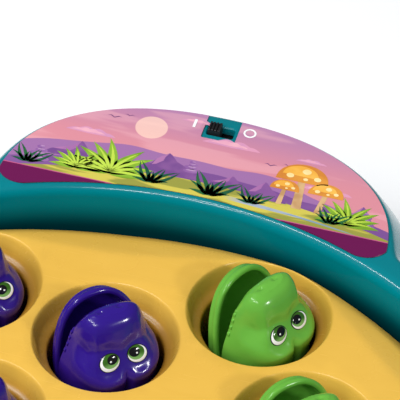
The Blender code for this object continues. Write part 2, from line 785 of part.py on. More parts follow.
def make_batteries():
    """Two cells one above the other, the strip that links them, and the door under them."""
    bay = on_arc(BAY_TURN)
    lay = Matrix.Rotation(math.pi / 2, 4, "Y")

    for number, (level, flip) in enumerate(((CELL_LOW, 0.0), (CELL_LOW + CELL_RISE, math.pi)), 1):
        place = bay @ Matrix.Translation((0, BAY_MID_R, level)) @ lay @ Matrix.Rotation(flip, 4, "Y")
        profile = [
            (CELL_R, -CELL_LONG / 2),
            (CELL_R, CELL_LONG / 2),
            (CELL_NUB_R, CELL_LONG / 2),
            (CELL_NUB_R, CELL_LONG / 2 + CELL_NUB_LONG),
        ]
        name = f"battery_cell_{number}"
        cell = add_object(name, turned_mesh(name, profile, 14), parts, copper)
        cell.matrix_world = place

    def contact(shape):
        outer = BAY_HALF - SEAT_GAP / 2
        y_range = (BAY_MID_R - CONTACT_WIDE / 2, BAY_MID_R + CONTACT_WIDE / 2)
        z_range = (CELL_LOW - CELL_R / 2, CELL_LOW + CELL_RISE + CELL_R / 2)
        box(shape, (-outer, CONTACT_THICK - outer), y_range, z_range, bay)

    solids("battery_contact", contact, parts, steel)

    def door(shape):
        play = DOOR_LAP - SEAT_GAP
        x_range = (-BAY_HALF - play, BAY_HALF + play + DOOR_TAB)
        y_range = (BAY_IN_R - play, BAY_IN_R + BAY_DEEP + play)
        box(shape, x_range, y_range, (DOOR_RECESS, DOOR_RECESS + DOOR_THICK), bay)

    battery_door = solids("battery_door", door, parts, teal)

    def hole(shape):
        frame = door_screw_frame()
        cylinder(shape, SCREW_R + RUN_GAP, -CUT_OVERRUN, BASE_THICK, SCREW_SIDES, frame)

    boolean(battery_door, cutter("door_hole", hole), "DIFFERENCE")


def make_fasteners():
    """The screw of the battery door, and the cap that holds the disc on its spindle."""
    def door_screw(shape):
        frame = door_screw_frame()
        cylinder(shape, SCREW_R, DOOR_RECESS, DOOR_SCREW_LONG, SCREW_SIDES, frame)

    solids("door_screw", door_screw, parts, steel)

    underside = DISC_TOP + SEAT_GAP
    profile = [
        (CAP_SHANK_R, underside - CAP_SHANK_LONG),
        (CAP_SHANK_R, underside),
        (CAP_R, underside),
        (CAP_R, underside + CAP_HIGH / 3),
        (CAP_CROWN_R, underside + CAP_HIGH - CAP_CROWN_DROP),
        (CAP_FLAT_R, underside + CAP_HIGH),
    ]
    add_object("spindle_cap", turned_mesh("spindle_cap", profile, 16), parts, teal)


def panel_points():
    """The printed panel's outline: the lobe's, the well's curve below, and two round corners."""
    grow = -PANEL_MARGIN
    low_r = PANEL_LOW_R
    end = panel_end_turn(low_r + PANEL_CORNER)
    points = []
    for i in range(PANEL_STEPS + 1):
        turn = -end + 2 * end * i / PANEL_STEPS
        points.append(on_arc(turn, lobe_radius(turn, grow), PANEL_LOW).translation)
    inset = PANEL_CORNER / low_r
    corner_steps = 3
    low_steps = 10
    for i in range(1, corner_steps):
        share = math.radians(90) * i / corner_steps
        turn = end - inset * (1 - math.cos(share))
        radius = low_r + PANEL_CORNER * (1 - math.sin(share))
        points.append(on_arc(turn, radius, PANEL_LOW).translation)
    for i in range(low_steps + 1):
        turn = (end - inset) * (1 - 2 * i / low_steps)
        points.append(on_arc(turn, low_r, PANEL_LOW).translation)
    for i in range(corner_steps - 1, 0, -1):
        share = math.radians(90) * i / corner_steps
        turn = -end + inset * (1 - math.cos(share))
        radius = low_r + PANEL_CORNER * (1 - math.sin(share))
        points.append(on_arc(turn, radius, PANEL_LOW).translation)
    return points


def panel_end_turn(radius):
    """The angle at which the panel's outline comes down to a radius."""
    low, high = 0.0, math.pi / 4
    for _ in range(40):
        middle = (low + high) / 2
        if lobe_radius(middle, -PANEL_MARGIN) > radius:
            low = middle
        else:
            high = middle
    return low


def make_panel():
    """The printed sheet on the lobe, with the notch for the switch in its rear edge."""
    shape = bmesh.new()
    face = shape.faces.new([shape.verts.new(point) for point in panel_points()])
    face.normal_update()
    if face.normal.z < 0:
        face.normal_flip()
    mesh = bpy.data.meshes.new("panel_label")
    shape.to_mesh(mesh)
    shape.free()
    panel = add_object("panel_label", mesh, parts, pink)
    sheet = panel.modifiers.new("thickness", "SOLIDIFY")
    sheet.thickness = PANEL_THICK
    sheet.offset = 1.0

    def notch(shape):
        half = SWITCH_CUT_X / 2
        y_range = (SWITCH_PLACE_R - SWITCH_CUT_Y / 2, SWITCH_PLACE_R + SWITCH_CUT_Y)
        box(shape, (-half, half), y_range, (HOUSING_TOP - CUT_OVERRUN, HOUSING_TOP + CUT_OVERRUN))

    boolean(panel, cutter("panel_notch", notch), "DIFFERENCE")


def make_switch():
    """The slide switch: an open case under the housing's top and a ribbed knob through the slot."""
    half_x, half_y = SWITCH_CASE_X / 2, SWITCH_CASE_Y / 2
    low = SWITCH_CASE_TOP - SWITCH_CASE_HIGH
    middle = Matrix.Translation((0, SWITCH_PLACE_R, 0))

    def case(shape):
        box(shape, (-half_x, half_x), (-half_y, half_y), (low, SWITCH_CASE_TOP), middle)

    switch_case = solids("switch_case", case, parts, steel)
    wall = SWITCH_CASE_WALL

    def room(shape):
        box(
            shape, (-half_x + wall, half_x - wall), (-half_y + wall, half_y - wall),
            (SWITCH_CASE_TOP - CARRIAGE_HIGH - 2 * SEAT_GAP, SWITCH_CASE_TOP + CUT_OVERRUN), middle,
        )

    boolean(switch_case, cutter("switch_room", room), "DIFFERENCE")

    travel = SWITCH_SLOT_X - KNOB - 2 * SEAT_GAP
    at_on = middle @ Matrix.Translation((-travel / 2, 0, 0))
    reach = half_x - wall - travel / 2 - SEAT_GAP

    def carriage(shape):
        box(
            shape, (-reach, reach), (-half_y + wall + SEAT_GAP, half_y - wall - SEAT_GAP),
            (SWITCH_CASE_TOP - CARRIAGE_HIGH - SEAT_GAP, SWITCH_CASE_TOP - SEAT_GAP), at_on,
        )

    slider = solids("switch_slider", carriage, parts, black)

    def knob(shape):
        half = KNOB / 2
        box(
            shape, (-half, half), (-half, half),
            (SWITCH_CASE_TOP - CARRIAGE_HIGH / 2, HOUSING_TOP + KNOB_PROUD), at_on,
        )

    boolean(slider, cutter("knob", knob), "UNION")

    def grooves(shape):
        top = HOUSING_TOP + KNOB_PROUD
        for place in (-1, 0, 1):
            x = place * KNOB_GROOVE * 2
            box(
                shape, (x - KNOB_GROOVE / 2, x + KNOB_GROOVE / 2), (-KNOB, KNOB),
                (top - KNOB_GROOVE, top + CUT_OVERRUN), at_on,
            )

    boolean(slider, cutter("knob_grooves", grooves), "DIFFERENCE")


def head_rings():
    """Sections of a dinosaur's head from its foot to the tip of its snout, facing -Y."""
    sides = HEAD_SIDES
    collar_low = SLEEVE_BOTTOM - FOOT_LEVEL + SEAT_GAP
    collar_high = collar_low + 2 * (COLLAR_R - HEAD_R)
    rings = [
        circle(FOOT_R, 0.0, sides),
        circle(COLLAR_R, collar_low, sides),
        circle(COLLAR_R, collar_high, sides),
        circle(HEAD_R, LEDGE_HIGH - LEDGE_STEP, sides),
    ]
    sections = [(LEDGE_HIGH / HEAD_HIGH, LEDGE_SHARE, LEDGE_SHARE)] + list(FACE_SHARES)
    for high_share, across_share, front_share in sections:
        ring = []
        for i in range(sides):
            turn = 2 * math.pi * i / sides - math.pi / 2
            x = HEAD_R * across_share * math.cos(turn)
            front = PALATE_BACK + (HEAD_R * front_share + PALATE_BACK) * min(math.sin(turn), 0)
            ring.append(Vector((x, front, HEAD_HIGH * high_share)))
        rings.append(ring)
    return rings


def jaw_dome(name, wall):
    """A full dome of the jaw's shape, set inwards by a wall and tipped back to the open place."""
    shape = bmesh.new()
    bmesh.ops.create_uvsphere(shape, u_segments=JAW_SIDES, v_segments=JAW_SIDES, radius=1.0)
    for vert in shape.verts:
        flat = math.hypot(vert.co.x, vert.co.y)
        full = (1 - min(abs(vert.co.z), 1.0) ** JAW_SHAPE_POWER) ** (1 / JAW_SHAPE_POWER)
        fuller = full / flat if full > 0 else 1.0
        vert.co.x *= fuller * (HEAD_R - wall)
        vert.co.y *= fuller * (JAW_DEEP - wall)
        vert.co.z *= JAW_HIGH - wall
    shape.transform(Matrix.Rotation(-JAW_OPEN, 4, "X"))
    return add_object(name, to_mesh(name, shape), cutters)


def jaw_mesh():
    """The lower jaw, a hollow half dome tipped back, with its origin on its hinge."""
    jaw = as_cutter(jaw_dome("jaw_outside", 0.0))
    boolean(jaw, as_cutter(jaw_dome("jaw_inside", JAW_WALL)), "DIFFERENCE")
    reach = 2 * JAW_HIGH

    def front(shape):
        box(shape, (-reach, reach), (-reach, 0.0), (-reach, reach), Matrix.Rotation(-JAW_OPEN, 4, "X"))

    boolean(jaw, cutter("jaw_front", front), "DIFFERENCE")

    def under(shape):
        box(shape, (-reach, reach), (-reach, reach), (-reach, 0.0))

    boolean(jaw, cutter("jaw_under", under), "DIFFERENCE")
    return evaluated_mesh(jaw)


def make_dinosaurs():
    """A head in each pocket and its lower jaw, hinged at the ledge behind the face."""
    head_meshes = [rings_mesh("head", head_rings()) for _ in range(2)]
    jaw_meshes = [jaw_mesh() for _ in range(2)]
    for number, (turn, radius, count, faces) in enumerate(pockets(), 1):
        pick = count % 2
        head = add_object(f"dino_{number:02d}_head", head_meshes[pick], parts, dino_finishes[pick])
        place = on_arc(turn, radius, FOOT_LEVEL).translation
        head.matrix_world = Matrix.Translation(place) @ Matrix.Rotation(faces, 4, "Z")
        jaw = add_object(f"dino_{number:02d}_jaw", jaw_meshes[pick], parts, dino_finishes[pick])
        jaw.parent = head
        jaw.location = (0, PALATE_BACK + SEAT_GAP, LEDGE_HIGH + SEAT_GAP)


def make_lead():
    """The lead from the battery bay to the motor, a smooth thin tube."""
    bay = on_arc(BAY_TURN)
    roof = BAY_TOP + BAY_WALL + LEAD_R + SEAT_GAP
    motor_middle = GEAR_CASE_TOP + MOTOR_HIGH / 2
    motor_end = Vector((-GEAR_CASE_LEFT - 3 * LEAD_R, MOTOR_IN_R + MOTOR_WIDE / 2, motor_middle))
    points = (
        bay @ Vector((BAY_HALF / 2, BAY_MID_R, roof)),
        bay @ Vector((BAY_HALF, BAY_MID_R, roof)),
        on_arc(DRIVE_TURN) @ Vector((motor_end.x - 2 * LEAD_R, motor_end.y, roof + LEAD_R)),
        on_arc(DRIVE_TURN) @ motor_end,
    )
    curve = bpy.data.curves.new("battery_lead", "CURVE")
    curve.dimensions = "3D"
    curve.bevel_depth = LEAD_R
    curve.bevel_resolution = 1
    curve.use_fill_caps = True
    curve.resolution_u = 3
    spline = curve.splines.new("NURBS")
    spline.points.add(len(points) - 1)
    for knot, point in zip(spline.points, points):
        knot.co = (*point, 1.0)
    spline.use_endpoint_u = True
    spline.order_u = 3
    lead = bpy.data.objects.new("battery_lead", curve)
    parts.objects.link(lead)
    curve.materials.append(red)
    weld = lead.modifiers.new("caps", "WELD")
    weld.merge_threshold = LEAD_R / 20


for old in list(bpy.data.objects):
    bpy.data.objects.remove(old)

parts = collection("dinosaur_fishing_game")
cutters = collection("cutters")
teal = material("teal_plastic", TEAL, 0.28)
yellow = material("yellow_plastic", YELLOW, 0.35)
pink = material("printed_panel", PINK, 0.30)
black = material("black_plastic", BLACK, 0.45)
grey = material("grey_plastic", GREY, 0.50)
white = material("white_plastic", WHITE, 0.45)
steel = material("steel", STEEL, 0.35, metallic=1.0)
copper = material("battery_wrap", COPPER, 0.30)
red = material("red_lead", RED, 0.50)
dino_finishes = (material("purple_plastic", PURPLE, 0.22), material("green_plastic", GREEN, 0.25))

make_base()
make_housing()
make_tracks()
make_turntable()
make_ring_gear()
make_pinion()
make_drive()
make_batteries()
make_fasteners()
make_panel()
make_switch()
make_dinosaurs()
make_lead()
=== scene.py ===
"""Looks of the dinosaur fishing game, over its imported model.

Lengths are in metres. Z is up, the game stands on Z = 0, the origin is on the turning disc's
axis, and the printed panel with its switch is at +Y.
"""

import json
import math

import bmesh
import bpy
from mathutils import Matrix, Vector
from mathutils.geometry import delaunay_2d_cdt


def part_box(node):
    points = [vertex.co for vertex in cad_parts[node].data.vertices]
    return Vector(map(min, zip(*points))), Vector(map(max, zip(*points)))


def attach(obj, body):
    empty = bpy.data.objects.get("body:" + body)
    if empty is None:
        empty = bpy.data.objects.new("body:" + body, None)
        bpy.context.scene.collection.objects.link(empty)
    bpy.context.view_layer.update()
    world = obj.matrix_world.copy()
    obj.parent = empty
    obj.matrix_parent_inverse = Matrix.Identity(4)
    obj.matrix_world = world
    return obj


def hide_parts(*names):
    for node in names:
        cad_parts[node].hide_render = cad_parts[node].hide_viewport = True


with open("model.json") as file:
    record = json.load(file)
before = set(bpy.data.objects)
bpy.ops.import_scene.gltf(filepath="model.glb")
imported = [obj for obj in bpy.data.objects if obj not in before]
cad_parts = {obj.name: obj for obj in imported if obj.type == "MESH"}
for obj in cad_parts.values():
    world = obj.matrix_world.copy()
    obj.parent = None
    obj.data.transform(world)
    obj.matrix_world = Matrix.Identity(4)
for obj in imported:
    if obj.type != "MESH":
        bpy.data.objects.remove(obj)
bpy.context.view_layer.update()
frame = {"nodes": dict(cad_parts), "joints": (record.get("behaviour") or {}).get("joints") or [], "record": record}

MM = 0.001

# Small rounds, the point where a closed bore ends, and the steps of a search by halving
SMALL_ROUND = 0.3 * MM
TIP_R = 0.2 * MM
HALVINGS = 40

# Camera, fitted to the photograph
CAMERA_PLACE = (98.39 * MM, -306.54 * MM, 452.62 * MM)
CAMERA_YAW = math.radians(-13.204)
CAMERA_DOWN = math.radians(43.712)
CAMERA_ROLL = math.radians(2.970)
CAMERA_LENS = 216.6
FILM_WIDTH = 36.0

# Disc and pockets
DISC_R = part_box("turntable")[1].x
DISC_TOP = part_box("turntable")[1].z
SLEEVE_BOTTOM = 14.0 * MM
SKIRT_BOTTOM = 19.8 * MM
SLAB_LOW = DISC_TOP - 6.3 * MM
SLEEVE_R = 15.3 * MM
HUB_BORE_R = 5.3 * MM
HUB_R = 8.0 * MM
HUB_LOW = 12.3 * MM
HUB_SIDES = 48
SKIRT_WALL = 2.4 * MM
LOOP_POINTS = 72
EDGE_POINTS = 240

# Valleys of the disc's face between the outer pockets, and the fall of its edge
LAND_EDGE_R = 92.7 * MM
LAND_EDGE_RISE = 3.6 * MM
LAND_EDGE_TURN = math.radians(12)
LAND_EDGE_POWER = 1.6
VALLEY_SLOPE = 0.30
VALLEY_SOFT = 0.8 * MM
VALLEY_TURN = math.radians(-8.5)
VALLEY_STEPS = (0.0, math.radians(48))
THIRD = math.radians(120)
EDGE_FALL = 1.0 * MM
EDGE_FALL_WIDE = 3.5 * MM

# Section of a pocket's funnel: radius and depth below the disc's face
FUNNEL = [(radius * MM, drop * MM) for radius, drop in (
    (17.85, 0.0), (17.7, 0.06), (17.55, 0.18), (17.3, 0.55), (17.05, 1.2), (16.7, 2.3), (16.3, 3.5),
    (15.9, 4.3), (15.3, 4.75), (14.7, 5.0), (14.2, 5.25), (13.95, 5.5), (13.8, 6.0), (13.8, 6.6),
)]
BORE_R = FUNNEL[-1][0]

# Points of a funnel that come too near the disc's edge are pulled in
PULL_FROM_R = 100.8 * MM
PULL = 0.098 / MM
PULL_KEEP_R = 103.1 * MM

# Housing
HOUSING_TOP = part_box("upper_housing")[1].z
HOUSING_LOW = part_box("upper_housing")[0].z
HOUSING_WALL = 2.2 * MM
WELL_R = DISC_R + 2.1 * MM
WELL_ROUND = 3.0 * MM
WELL_DEEP = 21.0 * MM
TOP_EDGE_R = WELL_R + WELL_ROUND + 4.6 * MM
SHOULDER_WIDE = 6.2 * MM
SHOULDER_HIGH = 9.8 * MM
SHOULDER_SET_IN = 1.0 * MM
DRAFT = 1.5 * MM
WALL_GROW = SHOULDER_WIDE + DRAFT
LOBE_CENTRE_Y = TOP_EDGE_R - 13.1 * MM
LOBE_HALF_X = 49.3 * MM
LOBE_HALF_Y = 37.3 * MM
LOBE_POWER = 2.25
LOBE_BLEND = 40
OUTLINE_LOBE = math.radians(36)
ROUND_STEPS = 6
BOSS_R = 2.5 * MM
POST_BORE_R = 1.3 * MM
BOSS_PLACE_R = TOP_EDGE_R - 1.2 * MM
BOSS_TOP = HOUSING_TOP - 1.8 * MM

# The outer wall from its foot to the top: millimetres out of the top's edge, and below the top
SHOULDER = (
    (6.42, 14.8), (6.31, 12.3), (6.24, 11.1), (6.05, 10.1), (5.68, 9.05), (4.91, 7.66),
    (2.90, 4.30), (1.30, 1.64), (0.98, 1.16), (0.66, 0.75), (0.36, 0.46), (0.05, 0.24),
    (-0.3, 0.09), (-0.7, 0.0),
)

# Base
BASE_THICK = HOUSING_LOW - 0.3 * MM
SPINDLE_TOP = DISC_TOP - 1.0 * MM
RING_GEAR_R = 106.2 * MM
PINION_PLACE_R = RING_GEAR_R * (1 + 7 / 54)
DRIVE_TURN = math.radians(14.5)
BAY_TURN = math.radians(-7.6)
BAY_HALF = 26.2 * MM
BAY_IN_R = WELL_R + HOUSING_WALL + 2.7 * MM
BAY_DEEP = 15.2 * MM
BAY_TOP = 31.8 * MM
BAY_WALL = 1.0 * MM
DOOR_TAB = 7.0 * MM

# Printed panel and switch
PANEL_MARGIN = 0.4 * MM
PANEL_LOW_R = WELL_R + 2.0 * MM
PANEL_CORNER = 6.0 * MM
PANEL_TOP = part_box("panel_label")[1].z
SWITCH_Y = LOBE_CENTRE_Y + LOBE_HALF_Y - 5.3 * MM
SWITCH_CUT_X = 8.8 * MM
SWITCH_CUT_Y = 7.2 * MM
SLOT_X = 6.9 * MM
SLOT_Y = 3.6 * MM
SLOT_CORNER = 0.6 * MM
KNOB_HALF = 1.6 * MM
INK_STEP = 0.012 * MM

# Dinosaurs
LOOK_TURNS = {10: math.radians(-5)}
HEAD_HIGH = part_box("dino_01_head")[1].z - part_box("dino_01_head")[0].z
FOOT_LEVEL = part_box("dino_01_head")[0].z
HINGE_BACK = 1.5 * MM
HEAD_R = 12.0 * MM
FACE_COLUMNS = 72
TEETH = 5
PALATE_BACK = 0.85 * MM
JAW_WALL = 1.5 * MM
JAW_HIGH = 24.1 * MM
JAW_DEEP = 6.8 * MM
JAW_OPEN = math.radians(13)
JAW_POWER = 2.5
JAW_TILT = Vector((0.0, math.cos(JAW_OPEN), -math.sin(JAW_OPEN)))
JAW_COLUMNS = 48
JAW_LINES = 40
RIM_STEPS = 5
EYE_SIDE = 3.55 * MM
EYE_LOOK = (0.05, -0.84, 0.53)
EYE_LEVEL = 30.1 * MM
EYE_WIDE = 2.65 * MM
EYE_HIGH = 2.25 * MM

# Setting
LIGHT_TARGET = (0.0, 0.02, 0.04)
FLOOR_HALF = 3.0
FLOOR_LEVEL = -0.2 * MM

# Colours of the housing
TEAL = (0.0, 0.19, 0.225)
TEAL_DEEP = (0.0, 0.165, 0.20)

pieces = bpy.data.collections.new("dressed_pieces")
bpy.context.scene.collection.children.link(pieces)


# Mesh helpers

def soften(mesh, sharp_degrees=40):
    """Smooth shading, with edges sharper than an angle kept crisp."""
    mesh.shade_smooth()
    mesh.set_sharp_from_angle(angle=math.radians(sharp_degrees))
    return mesh


def mesh_from(name, points, faces, weld=False):
    """A mesh with its faces pointing out."""
    mesh = bpy.data.meshes.new(name)
    mesh.from_pydata([tuple(point) for point in points], [], faces)
    shape = bmesh.new()
    shape.from_mesh(mesh)
    if weld:
        bmesh.ops.remove_doubles(shape, verts=shape.verts, dist=0.002 * MM)
    bmesh.ops.recalc_face_normals(shape, faces=shape.faces)
    shape.to_mesh(mesh)
    shape.free()
    return mesh


def loft(rings, closed_section=False, capped=False):
    """Points and faces of a loft through closed rings of points."""
    points = [point for ring in rings for point in ring]
    count = len(rings[0])
    starts = [count * i for i in range(len(rings))]
    pairs = list(zip(starts, starts[1:]))
    if closed_section:
        pairs.append((starts[-1], starts[0]))
    faces = []
    for low, high in pairs:
        for i in range(count):
            j = (i + 1) % count
            faces.append((low + i, low + j, high + j, high + i))
    if capped:
        faces.append(tuple(range(count)))
        faces.append(tuple(starts[-1] + i for i in range(count)))
    return points, faces


def circle(radius, level, count, centre=(0.0, 0.0)):
    """Points round a level circle."""
    turns = [2 * math.pi * i / count for i in range(count)]
    return [
        Vector((centre[0] + radius * math.cos(turn), centre[1] + radius * math.sin(turn), level))
        for turn in turns
    ]


def lathe(name, profile, count=64, closed_section=False):
    """A body turned round Z from its (radius, height) profile."""
    rings = [circle(radius, level, count) for radius, level in profile]
    return mesh_from(name, *loft(rings, closed_section, capped=not closed_section))


def add_to(points, faces, more, made):
    """Points and faces, added to those of a mesh in the making."""
    start = len(points)
    points.extend(more)
    faces.extend(tuple(start + i for i in face) for face in made)


def shape_of(mesh):
    """A mesh's points and faces."""
    return [vert.co.copy() for vert in mesh.vertices], [tuple(face.vertices) for face in mesh.polygons]


def last_true(test, low, high):
    """The last place between two where a test holds, found by halving."""
    for _ in range(HALVINGS):
        middle = (low + high) / 2
        if test(middle):
            low = middle
        else:
            high = middle
    return low


def add_piece(name, mesh, finish, body, stands_for=(), place=None):
    """A piece of the dressed game, riding on a body."""
    made = bpy.data.objects.new(name, mesh)
    pieces.objects.link(made)
    if not mesh.materials:
        mesh.materials.append(finish)
    if place is not None:
        made.matrix_world = place
    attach(made, body)
    if stands_for:
        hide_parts(*stands_for)


def put_in_scene(name, data):
    """A new object in the scene's own collection."""
    made = bpy.data.objects.new(name, data)
    bpy.context.scene.collection.objects.link(made)
    return made


def cut_away(mesh, cutters, name):
    """The mesh with closed cutter meshes taken out of it."""
    target = put_in_scene(name, mesh)
    tools = [put_in_scene(f"{name}_cutter", cutter) for cutter in cutters]
    for tool in tools:
        change = target.modifiers.new("cut", "BOOLEAN")
        change.operation = "DIFFERENCE"
        change.solver = "EXACT"
        change.object = tool
    graph = bpy.context.evaluated_depsgraph_get()
    result = bpy.data.meshes.new_from_object(target.evaluated_get(graph))
    for made in [target, *tools]:
        bpy.data.objects.remove(made)
    return result


def on_arc(turn, radius, level=0.0):
    """The point at an angle from +Y towards +X."""
    return Vector((radius * math.sin(turn), radius * math.cos(turn), level))


# Materials

SURFACE = {"Colour": "Color", "Roughness": "Float", "Height": "Float"}


def build_group(name, inputs, outputs):
    """An empty shader node group with sockets of given kinds, and its two end nodes."""
    group = bpy.data.node_groups.new(name, "ShaderNodeTree")
    for side, sockets in (("INPUT", inputs), ("OUTPUT", outputs)):
        for socket, kind in sockets.items():
            group.interface.new_socket(socket, in_out=side, socket_type=f"NodeSocket{kind}")
    return group, group.nodes.new("NodeGroupInput"), group.nodes.new("NodeGroupOutput")


def node(tree, kind, wires=None, **settings):
    """A node with its settings, and its inputs wired or set by name or number; colours are opaque."""
    made = tree.nodes.new(kind)
    for key, value in settings.items():
        setattr(made, key, value)
    for key, value in (wires or {}).items():
        socket = made.inputs[key]
        if isinstance(value, bpy.types.NodeSocket):
            tree.links.new(value, socket)
        else:
            socket.default_value = (*value, 1.0) if socket.type == "RGBA" else value
    return made


def maths(tree, operation, first, second=0.0, clamp=False):
    """A Math node's value."""
    return node(
        tree, "ShaderNodeMath", {0: first, 1: second}, operation=operation, use_clamp=clamp
    ).outputs[0]


def plus(tree, first, second):
    """The sum of two values."""
    return maths(tree, "ADD", first, second)


def times(tree, first, second):
    """The product of two values."""
    return maths(tree, "MULTIPLY", first, second)


def blend_colours(tree, share, first, second, mode="MIX"):
    """A Mix node's colour."""
    return node(
        tree, "ShaderNodeMix", {0: share, 6: first, 7: second}, data_type="RGBA", blend_type=mode
    ).outputs[2]


def ramp(tree, value, low, high):
    """A smooth step from 0 at low to 1 at high."""
    made = node(tree, "ShaderNodeMapRange", {0: value, 1: low, 2: high}, interpolation_type="SMOOTHSTEP")
    return made.outputs[0]


def noise(tree, where, scale, detail=2.0, **more):
    """A noise texture's value."""
    wires = {"Vector": where, "Scale": scale, "Detail": detail, **more}
    return node(tree, "ShaderNodeTexNoise", wires).outputs[0]


def stretched(tree, where, scale, turn=(0.0, 0.0, 0.0)):
    """Coordinates that are turned and scaled by axis."""
    return node(tree, "ShaderNodeMapping", {"Vector": where, "Rotation": turn, "Scale": scale}).outputs[0]


def axes_of(tree, where):
    """The three parts of coordinates."""
    return node(tree, "ShaderNodeSeparateXYZ", {0: where}).outputs


def make_moulded_group():
    """Moulded plastic: slow drift of the colour, faint flow lines, fine grain and handling marks."""
    group, start, end = build_group("moulded_plastic", {
        "Coordinates": "Vector", "Colour": "Color", "Deep Colour": "Color", "Drift": "Float",
        "Gloss": "Float", "Gloss Drift": "Float", "Scuffs": "Float", "Grain": "Float",
    }, SURFACE)
    where = start.outputs["Coordinates"]
    cloud = noise(group, where, 26.0, 3.0, Roughness=0.5)
    flow = noise(group, stretched(group, where, (1.0, 3.5, 7.0)), 38.0, Distortion=1.4)
    both = plus(group, times(group, cloud, 0.65), times(group, flow, 0.35))
    share = times(group, ramp(group, both, 0.32, 0.68), start.outputs["Drift"])
    mixed = blend_colours(group, share, start.outputs["Colour"], start.outputs["Deep Colour"])
    group.links.new(mixed, end.inputs["Colour"])

    patches = noise(group, where, 60.0, 4.0, Roughness=0.6)
    drift = times(group, maths(group, "SUBTRACT", patches, 0.5), start.outputs["Gloss Drift"])
    scratch_place = stretched(group, where, (1.0, 34.0, 9.0), (0.3, 0.2, 0.9))
    lines = ramp(group, noise(group, scratch_place, 55.0, Distortion=0.6), 0.66, 0.74)
    scuffs = times(group, lines, start.outputs["Scuffs"])
    rough = maths(group, "ADD", plus(group, start.outputs["Gloss"], drift), scuffs, clamp=True)
    group.links.new(rough, end.inputs["Roughness"])

    peel = noise(group, where, 420.0, Roughness=0.45)
    fine = noise(group, where, 2600.0)
    height = plus(group, times(group, peel, 0.75), times(group, fine, 0.25))
    height = times(group, height, start.outputs["Grain"])
    height = maths(group, "SUBTRACT", height, times(group, scuffs, 0.6))
    group.links.new(height, end.inputs["Height"])
    return group


def make_round_spot_group():
    """A round printed spot: 1 inside its radius and 0 outside, with a soft edge."""
    group, start, end = build_group("round_spot", {
        "Coordinates": "Vector", "Centre": "Vector", "Radius": "Float", "Softness": "Float",
    }, {"Mask": "Float"})
    ends = {0: start.outputs["Coordinates"], 1: start.outputs["Centre"]}
    apart = node(group, "ShaderNodeVectorMath", ends, operation="DISTANCE").outputs["Value"]
    inside = maths(group, "SUBTRACT", start.outputs["Radius"], apart)
    group.links.new(ramp(group, inside, 0.0, start.outputs["Softness"]), end.inputs["Mask"])
    return group


def make_skyline_group():
    """A printed skyline: 1 below a rolling line across X, at a level along Y."""
    group, start, end = build_group("skyline", {
        "Coordinates": "Vector", "Level": "Float", "Tilt": "Float", "Sag": "Float", "Rolls": "Float",
        "Roll Scale": "Float", "Seed": "Float",
    }, {"Mask": "Float"})
    across, along, _ = axes_of(group, start.outputs["Coordinates"])
    place = node(group, "ShaderNodeCombineXYZ", {0: across, 1: start.outputs["Seed"]}).outputs[0]
    rolls = noise(group, place, start.outputs["Roll Scale"], 1.0)
    height = times(group, maths(group, "SUBTRACT", rolls, 0.5), start.outputs["Rolls"])
    height = plus(group, height, start.outputs["Level"])
    height = plus(group, height, times(group, across, start.outputs["Tilt"]))
    bend = times(group, times(group, across, across), start.outputs["Sag"])
    depth = maths(group, "SUBTRACT", maths(group, "SUBTRACT", height, bend), along)
    group.links.new(ramp(group, depth, -0.05 * MM, 0.05 * MM), end.inputs["Mask"])
    return group


def make_brushed_group():
    """Plain metal: fine lines along one axis and a little tarnish."""
    group, start, end = build_group("drawn_metal", {
        "Coordinates": "Vector", "Colour": "Color", "Tarnish": "Color", "Lines": "Float",
    }, SURFACE)
    where = start.outputs["Coordinates"]
    lines = noise(group, stretched(group, where, (1.0, 22.0, 22.0)), 180.0, 3.0)
    stain = noise(group, where, 90.0, 4.0)
    share = times(group, ramp(group, stain, 0.45, 0.75), 0.5)
    mixed = blend_colours(group, share, start.outputs["Colour"], start.outputs["Tarnish"])
    group.links.new(mixed, end.inputs["Colour"])
    height = times(group, lines, start.outputs["Lines"])
    rough = plus(group, plus(group, 0.22, height), times(group, share, 0.3))
    group.links.new(rough, end.inputs["Roughness"])
    group.links.new(height, end.inputs["Height"])
    return group


moulded = make_moulded_group()
round_spot = make_round_spot_group()
skyline = make_skyline_group()
drawn_metal = make_brushed_group()


def empty_material(name):
    """A material with its Principled shader, and its object coordinates."""
    made = bpy.data.materials.new(name)
    made.use_nodes = True
    tree = made.node_tree
    where = tree.nodes.new("ShaderNodeTexCoord").outputs["Object"]
    return made, tree, tree.nodes["Principled BSDF"], where


def use_group(tree, group, values):
    """A node group placed in a material, with its inputs wired or set."""
    return node(tree, "ShaderNodeGroup", values, node_tree=group)


def add_bump(tree, shader, height, strength, distance):
    """A bump on the shader's normal."""
    bump = node(tree, "ShaderNodeBump", {"Strength": strength, "Distance": distance, "Height": height})
    tree.links.new(bump.outputs[0], shader.inputs["Normal"])


def grainy(tree, shader, low, grain, span):
    """Roughness that goes up with a grain."""
    tree.links.new(plus(tree, low, times(tree, grain, span)), shader.inputs["Roughness"])


def wire_look(tree, shader, look, strength, distance):
    """A look's colour, roughness and height, wired to the shader."""
    tree.links.new(look.outputs["Colour"], shader.inputs["Base Color"])
    tree.links.new(look.outputs["Roughness"], shader.inputs["Roughness"])
    add_bump(tree, shader, look.outputs["Height"], strength, distance)


def plastic(name, colour, deep, gloss, drift=0.3, scuffs=0.05, grain=0.3):
    """Moulded plastic in a colour that drifts towards a deeper one."""
    made, tree, shader, where = empty_material(name)
    look = use_group(tree, moulded, {
        "Coordinates": where, "Colour": colour, "Deep Colour": deep, "Drift": drift,
        "Gloss": gloss, "Gloss Drift": 0.06, "Scuffs": scuffs, "Grain": grain,
    })
    wire_look(tree, shader, look, 0.25, 0.05 * MM)
    shader.inputs["IOR"].default_value = 1.5
    return made


